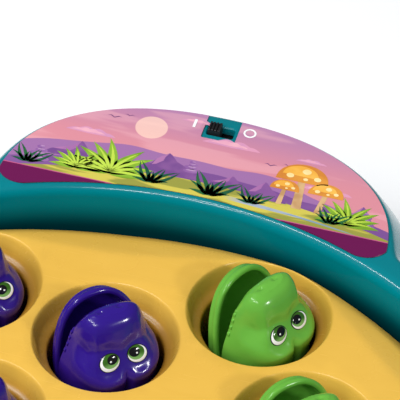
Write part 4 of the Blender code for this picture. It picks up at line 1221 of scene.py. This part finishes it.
def make_eyes_mesh():
    """Both printed eyes: thin lenses set in the sockets, mapped so that their inner sides match."""
    points, faces, places = [], [], []
    rings, sides = 7, 32
    tilt = math.radians(14)
    for side in (-1, 1):
        centre, out = eye_place(side)
        level = Vector((0, 0, 1)).cross(out).normalized()
        rise = out.cross(level).normalized()
        across = level * side * math.cos(tilt) - rise * math.sin(tilt)
        up = rise * math.cos(tilt) + level * side * math.sin(tilt)
        start = len(points)
        for k in range(rings + 1):
            share = k / rings
            for i in range(sides if k else 1):
                angle = 2 * math.pi * i / sides
                u, v = share * math.cos(angle), share * math.sin(angle)
                dome = 0.62 * math.sqrt(1 - (share * 0.98) ** 2) - 0.05
                points.append(centre + across * u * EYE_WIDE + up * v * EYE_HIGH + out * dome * MM)
                places.append((0.5 - 0.5 * u, 0.5 + 0.5 * v))
        for i in range(sides):
            j = (i + 1) % sides
            faces.append((start, start + 1 + i, start + 1 + j))
            for k in range(1, rings):
                low_ring, high_ring = start + 1 + sides * (k - 1), start + 1 + sides * k
                faces.append((low_ring + i, high_ring + i, high_ring + j, low_ring + j))
    mesh = bpy.data.meshes.new("eyes")
    mesh.from_pydata([tuple(point) for point in points], [], faces)
    layer = mesh.uv_layers.new(name="eye_map")
    for loop in mesh.loops:
        layer.data[loop.index].uv = places[loop.vertex_index]
    shape = bmesh.new()
    shape.from_mesh(mesh)
    for face in shape.faces:
        if face.normal.y > 0:
            face.normal_flip()
    shape.to_mesh(mesh)
    shape.free()
    return soften(mesh, 60)


def make_eye_material():
    """Printed eyes: white, a green iris turned in and up, a black pupil, a glint and a dark outline."""
    made, tree, shader, _ = empty_material("printed_eye")
    place = node(tree, "ShaderNodeUVMap", uv_map="eye_map").outputs[0]

    def spot(across, up, radius):
        return use_group(tree, round_spot, {
            "Coordinates": place, "Centre": (across, up, 0.0), "Radius": radius, "Softness": 0.02,
        }).outputs[0]

    grain = noise(tree, place, 14.0)
    shade = ramp(tree, axes_of(tree, place)[1], 0.25, 0.62)
    white_ink = blend_colours(tree, grain, (0.90, 0.91, 0.89), (0.95, 0.95, 0.93))
    iris_ink = blend_colours(tree, shade, (0.20, 0.42, 0.12), (0.04, 0.13, 0.015))
    colour = blend_colours(tree, spot(0.57, 0.58, 0.405), white_ink, iris_ink)
    colour = blend_colours(tree, spot(0.66, 0.60, 0.265), colour, (0.008, 0.008, 0.010))
    colour = blend_colours(tree, spot(0.55, 0.55, 0.055), colour, (0.92, 0.93, 0.92))
    colour = blend_colours(tree, spot(0.5, 0.5, 0.468), (0.012, 0.014, 0.012), colour)
    tree.links.new(colour, shader.inputs["Base Color"])
    grainy(tree, shader, 0.06, grain, 0.08)
    shader.inputs["Specular IOR Level"].default_value = 0.30
    add_bump(tree, shader, grain, 0.08, 0.02 * MM)
    return made


def add_dinosaurs():
    """A head with its eyes in each pocket, and its jaw."""
    eyes = make_eyes_mesh()
    eyes.materials.append(make_eye_material())
    slots = {part["node"]: part["material_slot"] for part in frame["record"]["subparts"]}
    shapes = {}
    for slot, finish in (("purple_plastic", purple), ("green_plastic", green)):
        shapes[slot] = (make_head_mesh(), make_jaw_mesh())
        for mesh in shapes[slot]:
            mesh.materials.append(finish)
    for number, x, y, faces in POCKETS:
        tag = f"dino_{number:02d}"
        slot = slots[f"{tag}_head"]
        head, jaw = shapes[slot]
        faces += LOOK_TURNS.get(number, 0.0)
        place = Matrix.Translation((x, y, FOOT_LEVEL)) @ Matrix.Rotation(faces, 4, "Z")
        hinge = place @ Matrix.Translation((0, HINGE_BACK, 14.0 * MM))
        add_piece(f"{tag}_face", head, None, tag, (f"{tag}_head",), place)
        add_piece(f"{tag}_eyes", eyes, None, tag, (), place)
        add_piece(f"{tag}_lower_jaw", jaw, None, f"jaw_{number:02d}", (f"{tag}_jaw",), hinge)


# Printed panel

def panel_outline():
    """The print's outline: the lobe's curve, the well's curve below, and two round corners."""
    grow = -PANEL_MARGIN
    end = last_true(
        lambda turn: lobe_radius(turn, grow) > PANEL_LOW_R + PANEL_CORNER, 0.0, math.radians(45)
    )
    low_end = end - PANEL_CORNER / PANEL_LOW_R
    points = []
    for i in range(121):
        turn = -end + 2 * end * i / 120
        points.append(on_arc(turn, lobe_radius(turn, grow)))
    corner = []
    for i in range(1, 12):
        share = math.radians(90) * i / 12
        turn = low_end + (end - low_end) * math.cos(share)
        corner.append((turn, PANEL_LOW_R + PANEL_CORNER * (1 - math.sin(share))))
    points += [on_arc(turn, radius) for turn, radius in corner]
    points += [on_arc(low_end * (1 - 2 * i / 100), PANEL_LOW_R) for i in range(101)]
    points += [on_arc(-turn, radius) for turn, radius in reversed(corner)]
    return points


def make_panel_mesh():
    """The printed sheet, with a fine soft edge and the notch for the switch."""
    points = panel_outline()
    middle = Vector((0.0, 118.0 * MM, 0.0))
    rings = []
    for inset, drop in ((0.0, 0.22 * MM), (0.0, 0.05 * MM), (0.05 * MM, 0.0)):
        ring = [point + (middle - point).normalized() * inset for point in points]
        for point in ring:
            point.z = PANEL_TOP - drop
        rings.append(ring)
    sheet = mesh_from("panel", *loft(rings, capped=True))
    notch = rounded_box(
        SWITCH_CUT_X / 2, SWITCH_CUT_Y / 2 + 4 * MM, 0.5 * MM, (HOUSING_TOP - MM, HOUSING_TOP + MM),
        centre=(0.0, SWITCH_Y + 4 * MM),
    )
    return soften(cut_away(sheet, [notch], "panel"), 30)


def finish_print(tree, shader, where, colour, strength):
    """A printed colour on the shader, with its gloss and fine grain."""
    tree.links.new(colour, shader.inputs["Base Color"])
    grain = noise(tree, where, 900.0)
    grainy(tree, shader, 0.30, grain, 0.12)
    add_bump(tree, shader, grain, strength, 0.02 * MM)


def below_line(tree, where, level, tilt, sag, rolls, scale, seed):
    """1 below a printed skyline and 0 above it, with its level and rolls in millimetres."""
    return use_group(tree, skyline, {
        "Coordinates": where, "Level": level * MM, "Tilt": tilt, "Sag": sag, "Rolls": rolls * MM,
        "Roll Scale": scale, "Seed": seed,
    }).outputs[0]


def sky_colour(tree, where, streaks):
    """The print's sky: rose below, lilac above, with faint streaks and a low sun."""
    high = ramp(tree, axes_of(tree, where)[1], 119 * MM, 139 * MM)
    colour = blend_colours(tree, high, (0.66, 0.25, 0.30), (0.42, 0.20, 0.38))
    haze = times(tree, ramp(tree, streaks, 0.52, 0.60), 0.35)
    colour = blend_colours(tree, haze, colour, (0.82, 0.43, 0.47))
    sun = use_group(tree, round_spot, {
        "Coordinates": where, "Centre": (-17 * MM, 128 * MM, PANEL_TOP), "Radius": 4.2 * MM,
        "Softness": 0.2 * MM,
    }).outputs[0]
    return blend_colours(tree, times(tree, sun, 0.7), colour, (0.92, 0.62, 0.50))


def land_colour(tree, where, sky, streaks, patches):
    """The print's land under its sky: far hills, violet hills, a meadow and a stream at the right."""
    far = below_line(tree, where, 119.5, -0.04, 4.0, 9.0, 34.0, 0.4)
    colour = blend_colours(tree, far, sky, (0.33, 0.15, 0.36))
    hills = below_line(tree, where, 115.8, 0.0, 3.0, 5.5, 46.0, 3.1)
    shade = ramp(tree, streaks, 0.42, 0.58)
    violet = blend_colours(tree, shade, (0.19, 0.075, 0.27), (0.25, 0.11, 0.32))
    colour = blend_colours(tree, hills, colour, violet)
    meadow = below_line(tree, where, 112.4, 0.02, 3.1, 1.2, 60.0, 7.7)
    shade = ramp(tree, patches, 0.44, 0.56)
    grassy = blend_colours(tree, shade, (0.30, 0.30, 0.05), (0.60, 0.52, 0.08))
    colour = blend_colours(tree, meadow, colour, grassy)
    near_bank = below_line(tree, where, 108.7, -0.03, 1.2, 0.8, 50.0, 13.0)
    stream = below_line(tree, where, 110.2, -0.05, 1.6, 0.8, 50.0, 11.0)
    stream = times(tree, stream, maths(tree, "SUBTRACT", 1.0, near_bank))
    stream = times(tree, stream, ramp(tree, axes_of(tree, where)[0], 6 * MM, 12 * MM))
    shade = ramp(tree, patches, 0.5, 0.55)
    ripple = blend_colours(tree, shade, (0.22, 0.32, 0.40), (0.36, 0.42, 0.50))
    return blend_colours(tree, stream, colour, ripple)


def make_print_material():
    """The picture: a lilac sky over hills, a meadow and a stream, with a plum band at its foot."""
    made, tree, shader, where = empty_material("panel_print")
    streak_place = stretched(tree, where, (14.0, 95.0, 1.0), (0, 0, 0.06))
    streaks = noise(tree, streak_place, 1.6, 3.0)
    patches = noise(tree, streak_place, 5.0)
    colour = land_colour(tree, where, sky_colour(tree, where, streaks), streaks, patches)
    into_band = maths(tree, "SUBTRACT", 105.2 * MM, axes_of(tree, where)[1])
    border = ramp(tree, into_band, -0.35 * MM, -0.25 * MM)
    colour = blend_colours(tree, border, colour, (0.50, 0.09, 0.22))
    band = ramp(tree, into_band, -0.05 * MM, 0.05 * MM)
    colour = blend_colours(tree, band, colour, (0.135, 0.004, 0.072))
    finish_print(tree, shader, where, colour, 0.06)
    return made


def ink_material(name, colour, deep):
    """Printed ink that fades between two tones."""
    made, tree, shader, where = empty_material(name)
    tone = blend_colours(tree, ramp(tree, noise(tree, where, 180.0), 0.40, 0.60), colour, deep)
    finish_print(tree, shader, where, tone, 0.05)
    return made


def ink(name, shapes, colours, layer):
    """Flat printed shapes, each a ring of points in millimetres."""
    points, faces = [], []
    for shape in shapes:
        start = len(points)
        points += [(x * MM, y * MM, PANEL_TOP + layer * INK_STEP) for x, y in shape]
        faces.append(tuple(range(start, len(points))))
    mesh = bpy.data.meshes.new(name)
    mesh.from_pydata(points, [], faces)
    for face in mesh.polygons:
        if face.normal.z < 0:
            face.flip()
    mesh.update()
    add_piece(name, mesh, ink_material(f"{name}_ink", *colours), "base")


def leaf(x, y, long, wide, lean, bend=0.0):
    """A pointed leaf from its foot, leaning from upright."""
    left, right = [], []
    for i in range(13):
        share = i / 12
        turn = math.radians(lean + bend * share)
        reach = long * share
        cx, cy = x + reach * math.sin(turn), y + reach * math.cos(turn)
        half = wide / 2 * math.sin(math.pi * share ** 0.7)
        left.append((cx - half * math.cos(turn), cy + half * math.sin(turn)))
        right.append((cx + half * math.cos(turn), cy - half * math.sin(turn)))
    return left + right[::-1][1:-1]


def dome(x, y, wide, high, power):
    """A half round shape on a flat foot."""
    shape = []
    for i in range(25):
        turn = math.pi * i / 24
        shape.append((x + wide / 2 * math.cos(turn), y + high * abs(math.sin(turn)) ** (2 / power)))
    return shape


def oval(x, y, wide, high, turn=0.0):
    """An oval, turned by an angle in degrees."""
    lean = math.radians(turn)
    shape = []
    for i in range(24):
        angle = 2 * math.pi * i / 24
        a, b = wide / 2 * math.cos(angle), high / 2 * math.sin(angle)
        shape.append((
            x + a * math.cos(lean) - b * math.sin(lean), y + a * math.sin(lean) + b * math.cos(lean),
        ))
    return shape


def cloud(x, y, wide, high):
    """A flat-bottomed cloud with a bumpy top."""
    shape = [(x - wide / 2, y), (x, y - 0.12 * high), (x + wide / 2, y)]
    for i in range(1, 40):
        share = 1 - i / 40
        bumps = 0.70 + 0.30 * abs(math.sin(3.6 * math.pi * share + 0.4))
        shape.append((x + wide * (share - 0.5), y + high * bumps * math.sin(math.pi * share) ** 0.8))
    return shape


def stroke(x, y, high, wide, lean, taper):
    """A stem from its foot."""
    top_x = x + high * math.tan(math.radians(lean))
    half = wide / 2
    return [(x - half, y), (x + half, y), (top_x + half * taper, y + high), (top_x - half * taper, y + high)]


def print_stones():
    """Three heaps of flat stones, each with a lit side."""
    stones, lights = [], []
    for x, y, size in ((-41.0, 108.6, 1.1), (-3.5, 115.5, 0.8), (41.5, 109.5, 1.0)):
        lift = 0.0
        for row, (wide, high, step) in enumerate(
            ((5.2, 1.9, 1.5), (4.0, 1.6, 1.3), (2.9, 1.4, 1.1), (1.8, 1.1, 0.9))
        ):
            way = (-1) ** row
            stones.append(oval(x + 0.25 * way, y + lift * size, wide * size, high * size, 4 * way))
            lit_y = y + (lift + 0.32) * size
            lights.append(oval(x + 0.1, lit_y, wide * 0.62 * size, high * 0.34 * size, 4))
            lift += step
    ink("print_stones", stones, ((0.30, 0.14, 0.36), (0.25, 0.10, 0.32)), 1)
    ink("print_stone_lights", lights, ((0.46, 0.26, 0.48), (0.40, 0.21, 0.44)), 2)


def print_toadstools():
    """Three toadstools with spotted caps."""
    stems, caps, lights, spots = [], [], [], []
    for x, y, size, lean in ((24.5, 110.2, 1.25, -4), (29.8, 110.0, 0.85, 6), (20.0, 110.6, 0.7, 3)):
        top = x + 8.2 * size * math.tan(math.radians(lean))
        stems.append(stroke(x, y, 8.4 * size, 2.0 * size, lean, 0.7))
        caps.append(dome(top, y + 7.6 * size, 10.5 * size, 5.2 * size, 2.3))
        lights.append(dome(top - 0.6 * size, y + 9.3 * size, 7.2 * size, 2.9 * size, 2.1))
        for dx, dy, r in ((-2.6, 9.0, 1.3), (0.4, 10.8, 1.5), (2.9, 9.2, 1.2), (0.6, 8.6, 0.8)):
            spots.append(oval(top + dx * size, y + dy * size, r * size * 1.2, r * size))
    ink("print_toadstool_stems", stems, ((0.66, 0.42, 0.20), (0.50, 0.28, 0.12)), 3)
    ink("print_toadstool_caps", caps, ((0.72, 0.30, 0.04), (0.62, 0.22, 0.03)), 4)
    ink("print_toadstool_lights", lights, ((0.88, 0.48, 0.08), (0.82, 0.40, 0.05)), 5)
    ink("print_toadstool_spots", spots, ((0.92, 0.74, 0.36), (0.88, 0.66, 0.28)), 6)


def print_agaves():
    """Three agaves, each a fan of leaves with a lit middle."""
    leaves, lights = [], []
    for x, y, size in ((-22.5, 108.6, 1.2), (-31.0, 108.0, 0.75), (37.5, 108.2, 0.9)):
        for i, lean in enumerate((-74, -56, -38, -20, 0, 18, 36, 55, 73)):
            long = size * (8.5 + 2.2 * math.cos(math.radians(lean)) - 0.5 * (i % 2))
            bend = 14 if lean > 0 else -14
            leaves.append(leaf(x, y, long, 2.3 * size, lean, bend))
            lights.append(leaf(x + 0.1, y + 0.6, long * 0.82, 0.75 * size, lean, bend))
    ink("print_agave", leaves, ((0.24, 0.44, 0.03), (0.17, 0.33, 0.02)), 3)
    ink("print_agave_lights", lights, ((0.50, 0.68, 0.07), (0.42, 0.60, 0.05)), 4)


def print_clouds():
    """Five clouds with lit bellies."""
    clouds, lights = [], []
    for x, y, wide in (
        (4.0, 127.0, 15.0), (-31.0, 121.4, 13.0), (30.5, 118.0, 13.0), (-6.0, 133.2, 9.0), (24.5, 127.2, 8.0),
    ):
        clouds.append(cloud(x, y, wide, 0.17 * wide))
        lights.append(cloud(x - 0.05 * wide, y + 0.03 * wide, 0.66 * wide, 0.10 * wide))
    ink("print_clouds", clouds, ((0.70, 0.31, 0.45), (0.62, 0.28, 0.46)), 1)
    ink("print_cloud_lights", lights, ((0.82, 0.43, 0.50), (0.76, 0.36, 0.48)), 2)


def print_peaks():
    """Five peaks over the hills, each with a lit face."""
    peaks, lights = [], []
    for x, y, wide, high, lean in (
        (-34.0, 111.5, 13.0, 6.4, 0.30), (-8.0, 112.8, 16.0, 7.4, -0.25), (6.0, 112.2, 11.0, 4.6, 0.2),
        (16.0, 111.0, 12.0, 6.2, -0.1), (39.5, 109.0, 11.0, 6.8, 0.15),
    ):
        tip = lean / 2
        peak = (
            (-0.5, 0), (0.5, 0), (0.34, 0.34), (tip + 0.16, 0.66), (tip + 0.05, 0.93), (tip, 1),
            (tip - 0.09, 0.80), (tip - 0.16, 0.62), (-0.36, 0.27),
        )
        light = (
            (tip, 0.985), (tip - 0.09, 0.80), (tip - 0.16, 0.62), (-0.33, 0.30), (tip - 0.14, 0.36),
            (tip - 0.05, 0.58), (tip - 0.04, 0.78),
        )
        for shapes, shape in ((peaks, peak), (lights, light)):
            shapes.append([(x + across * wide, y + up * high) for across, up in shape])
    ink("print_peaks", peaks, ((0.17, 0.065, 0.25), (0.23, 0.09, 0.29)), 0.6)
    ink("print_peak_lights", lights, ((0.42, 0.17, 0.38), (0.36, 0.14, 0.36)), 0.9)


def print_birds():
    """Four birds, each a pair of wings."""
    birds = []
    for x, y, size in ((-27.0, 129.0, 1.0), (-23.5, 130.6, 0.7), (15.0, 123.4, 0.9), (19.2, 124.6, 0.65)):
        for side in (-1, 1):
            wing = ((0, 0), (0.9, 0.62), (1.9, 0.35), (1.0, 0.38), (0, -0.28))
            birds.append([(x + side * across * size, y + up * size) for across, up in wing[::side]])
    ink("print_birds", birds, ((0.15, 0.05, 0.18), (0.12, 0.04, 0.15)), 3)


def print_grass():
    """Five tufts of grass along the print's foot."""
    grass = []
    for x, y, size in (
        (-43.0, 106.6, 0.9), (-12.0, 108.4, 1.0), (3.0, 108.3, 1.15), (13.5, 108.6, 0.8), (33.5, 107.4, 0.8),
    ):
        for i in range(11):
            long = size * (4.2 + 1.9 * ((i * 5) % 3))
            bend = 22 if i % 2 else -16
            grass.append(leaf(x + 0.12 * (i - 5), y, long, 0.95 * size, -62 + 12.4 * i, bend))
    ink("print_grass", grass, ((0.01, 0.09, 0.045), (0.02, 0.13, 0.04)), 5)


def print_switch_marks():
    """The marks beside the switch: a bar at one side and a ring at the other."""
    bar = on_arc(math.radians(-3.0), 133.0)
    marks = [[
        (bar.x + across * 0.36, bar.y + up * 1.5) for across, up in ((-1, -1), (1, -1), (1, 1), (-1, 1))
    ]]
    middle = on_arc(math.radians(3.1), 133.4)
    for i in range(40):
        corners = []
        for radius, j in ((1.65, i), (1.65, i + 1), (1.15, i + 1), (1.15, i)):
            turn = 2 * math.pi * j / 40
            corners.append((middle.x + radius * math.cos(turn), middle.y + radius * math.sin(turn)))
        marks.append(corners)
    ink("print_switch_marks", marks, ((0.90, 0.90, 0.90), (0.86, 0.86, 0.87)), 7)


def add_print():
    """The printed sheet, all the shapes printed on it and the switch's marks."""
    picture = make_print_material()
    add_piece("panel_sheet", make_panel_mesh(), picture, "base", ("panel_label",))
    print_stones()
    print_toadstools()
    print_agaves()
    print_clouds()
    print_peaks()
    print_birds()
    print_grass()
    print_switch_marks()


# Switch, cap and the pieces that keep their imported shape

def make_slider_mesh():
    """The switch's carriage with its ribbed knob."""
    low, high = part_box("switch_slider")
    x = (low.x + high.x) / 2
    plate = rounded_box(
        (high.x - low.x) / 2, (high.y - low.y) / 2, 0.4 * MM, (low.z, low.z + 1.2 * MM), centre=(x, SWITCH_Y),
    )
    points, faces = shape_of(plate)
    half = KNOB_HALF / MM
    rib = ((0.06, 0.0), (0.40, 0.0), (0.47, 0.1), (0.52, 0.42), (0.72, 0.42), (0.77, 0.1))
    ribs = [(0.12 - half + i * 0.83 + across, drop) for i in range(4) for across, drop in rib]
    knob = [(-half, 0.55), (0.12 - half, 0.1)]
    knob += [(across, drop) for across, drop in ribs if across <= half - 0.1]
    knob += [(half - 0.06, 0.12), (half, 0.55)]
    side = [(across * MM, high.z - drop * MM) for across, drop in knob]
    foot = low.z + 0.8 * MM
    side = [(-KNOB_HALF, foot), *side, (KNOB_HALF, foot)]
    soft = 0.12 * MM
    rings = []
    for y, inset in ((-KNOB_HALF, 0.12), (soft - KNOB_HALF, 0.0), (KNOB_HALF - soft, 0.0), (KNOB_HALF, 0.12)):
        rings.append([
            Vector((x + px * (1 - inset * 0.08), SWITCH_Y + y, min(pz, high.z - inset * MM)))
            for px, pz in side
        ])
    add_to(points, faces, *loft(rings, capped=True))
    return soften(mesh_from("slider", points, faces), 30)


def make_cap_mesh():
    """The cap on the spindle, with a soft crown, a dimple in it and its shank."""
    low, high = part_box("spindle_cap")
    crown = (
        (1.5, 2.2), (6.2, 2.2), (6.45, 2.1), (6.5, 1.8), (6.35, 1.0), (5.9, 0.55), (5.0, 0.27),
        (3.6, 0.08), (2.2, 0.0), (1.7, 0.03), (1.4, 0.25), (0.8, 0.42), (0.2, 0.45),
    )
    profile = [(TIP_R, low.z), (1.35 * MM, low.z), (1.5 * MM, low.z + 0.3 * MM)]
    profile += [(radius * MM, high.z - drop * MM) for radius, drop in crown]
    return soften(lathe("cap", profile, 64), 40)


def make_cell_material():
    """A battery's plain wrap: a dark body, a copper band at one end, and plain metal at its ends."""
    made, tree, shader, where = empty_material("battery_wrap")
    wires = {"Vector": where, "Angle": BAY_TURN}
    turned = node(tree, "ShaderNodeVectorRotate", wires, rotation_type="Z_AXIS").outputs[0]
    across = axes_of(tree, turned)[0]
    band = ramp(tree, across, 12.0 * MM, 12.2 * MM)
    ends = maths(tree, "GREATER_THAN", maths(tree, "ABSOLUTE", across), 24.4 * MM)
    grain = noise(tree, where, 160.0, 3.0)
    dark = blend_colours(tree, grain, (0.018, 0.018, 0.020), (0.03, 0.03, 0.032))
    copper = blend_colours(tree, grain, (0.60, 0.26, 0.06), (0.70, 0.34, 0.10))
    colour = blend_colours(tree, ends, blend_colours(tree, band, dark, copper), (0.55, 0.55, 0.54))
    tree.links.new(colour, shader.inputs["Base Color"])
    grainy(tree, shader, 0.24, grain, 0.2)
    tree.links.new(times(tree, ends, 0.9), shader.inputs["Metallic"])
    add_bump(tree, shader, grain, 0.08, 0.03 * MM)
    return made


def dress_packed_nodes():
    """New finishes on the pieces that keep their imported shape."""
    cell = make_cell_material()
    finishes = {
        # The ring gear shares the disc's yellow, and with it the painted shade by height.
        "cam_tracks": grey, "ring_gear": yellow, "drive_pinion": white, "gear_case": white, "motor": steel,
        "battery_contact": steel, "door_screw": steel, "switch_case": steel, "battery_cell_1": cell,
        "battery_cell_2": cell, "battery_lead": red, "battery_door": teal,
    }
    for name, finish in finishes.items():
        held = frame["nodes"][name]
        for i in range(len(held.data.materials)):
            held.data.materials[i] = finish


# Setting

def make_backdrop_material():
    """A plain pale floor that keeps the game's shadow."""
    made, tree, shader, where = empty_material("pale_floor")
    tone = blend_colours(tree, noise(tree, where, 3.0), (0.93, 0.93, 0.93), (0.95, 0.95, 0.95))
    tree.links.new(tone, shader.inputs["Base Color"])
    shader.inputs["Roughness"].default_value = 0.9
    shader.inputs["Specular IOR Level"].default_value = 0.2
    return made


def add_light(name, towards, distance, size, power, along=None):
    """A rectangular soft light that shines at the game; along is the way that its long side runs."""
    lamp = bpy.data.lights.new(name, "AREA")
    lamp.shape = "RECTANGLE"
    lamp.size, lamp.size_y = size
    lamp.energy = power
    held = put_in_scene(name, lamp)
    way = Vector(towards).normalized()
    held.location = Vector(LIGHT_TARGET) + way * distance
    held.rotation_euler = way.to_track_quat("Z", "Y").to_euler()
    if along:
        side = Vector(along) - way * Vector(along).dot(way)
        side.normalize()
        held.rotation_euler = Matrix((side, way.cross(side), way)).transposed().to_euler()
    return held


def make_world():
    """Soft white surroundings, plain white where the camera sees them."""
    world = bpy.data.worlds.new("surroundings")
    bpy.context.scene.world = world
    world.use_nodes = True
    tree = world.node_tree
    back = tree.nodes["Background"]
    back.inputs["Strength"].default_value = 1.0
    path = tree.nodes.new("ShaderNodeLightPath")
    tone = blend_colours(tree, path.outputs["Is Camera Ray"], (0.34, 0.35, 0.37), (1.0, 1.0, 1.0))
    tone = blend_colours(tree, path.outputs["Is Glossy Ray"], tone, (0.10, 0.10, 0.105))
    tree.links.new(tone, back.inputs["Color"])


def add_floor():
    """The floor that the game stands on."""
    mesh = bpy.data.meshes.new("floor")
    corners = ((-1, -1), (1, -1), (1, 1), (-1, 1))
    mesh.from_pydata([(x * FLOOR_HALF, y * FLOOR_HALF, FLOOR_LEVEL) for x, y in corners], [], [(0, 1, 2, 3)])
    mesh.materials.append(make_backdrop_material())
    put_in_scene("floor", mesh)


def add_camera():
    """The camera, as fitted to the photograph."""
    lens = bpy.data.cameras.new("camera")
    lens.lens = CAMERA_LENS
    lens.sensor_width = FILM_WIDTH
    lens.clip_start = 0.01
    camera = put_in_scene("camera", lens)
    level = on_arc(CAMERA_YAW, math.cos(CAMERA_DOWN))
    ahead = Vector((level.x, level.y, -math.sin(CAMERA_DOWN)))
    right = Vector((math.cos(CAMERA_YAW), -math.sin(CAMERA_YAW), 0.0))
    up = right.cross(ahead)
    across = right * math.cos(CAMERA_ROLL) + up * math.sin(CAMERA_ROLL)
    upward = -right * math.sin(CAMERA_ROLL) + up * math.cos(CAMERA_ROLL)
    turned = Matrix((across, upward, -ahead)).transposed().to_4x4()
    camera.matrix_world = Matrix.Translation(CAMERA_PLACE) @ turned
    bpy.context.scene.camera = camera


def add_setting():
    """The floor, the lights, the surroundings and the camera."""
    add_floor()
    make_world()
    add_light("key_strip", (0.846, -0.209, 0.485), 0.9, (0.10, 0.05), 2.4)
    add_light("snout_strip", (-0.10, -0.52, 0.85), 1.0, (0.36, 0.07), 2.2)
    sheen = add_light("rim_strip", (-0.45, -0.10, 0.87), 0.9, (0.66, 0.030), 2.6, (-0.51, 0.39, -0.23))
    sheen.visible_diffuse = False
    wide = add_light("wide_softbox", (-0.58, -0.25, 0.77), 0.72, (0.75, 0.55), 5.8)
    wide.visible_glossy = False
    add_camera()
    bpy.context.scene.view_settings.view_transform = "Standard"


def build():
    """The whole dressed game."""
    add_piece("disc_plate", make_disc_mesh(), yellow, "disc", ("turntable",))
    add_piece("housing_shell", make_housing_mesh(), shell, "base", ("upper_housing",))
    add_piece("housing_posts", make_posts_mesh(), teal, "base")
    add_piece("tray", make_base_mesh(), teal, "base", ("base_tray",))
    add_piece("tray_works", make_works_mesh(), teal, "base")
    add_print()
    add_piece("switch_knob", make_slider_mesh(), black, "slider", ("switch_slider",))
    add_piece("cap", make_cap_mesh(), teal, "base", ("spindle_cap",))
    add_dinosaurs()
    dress_packed_nodes()
    add_setting()


build()
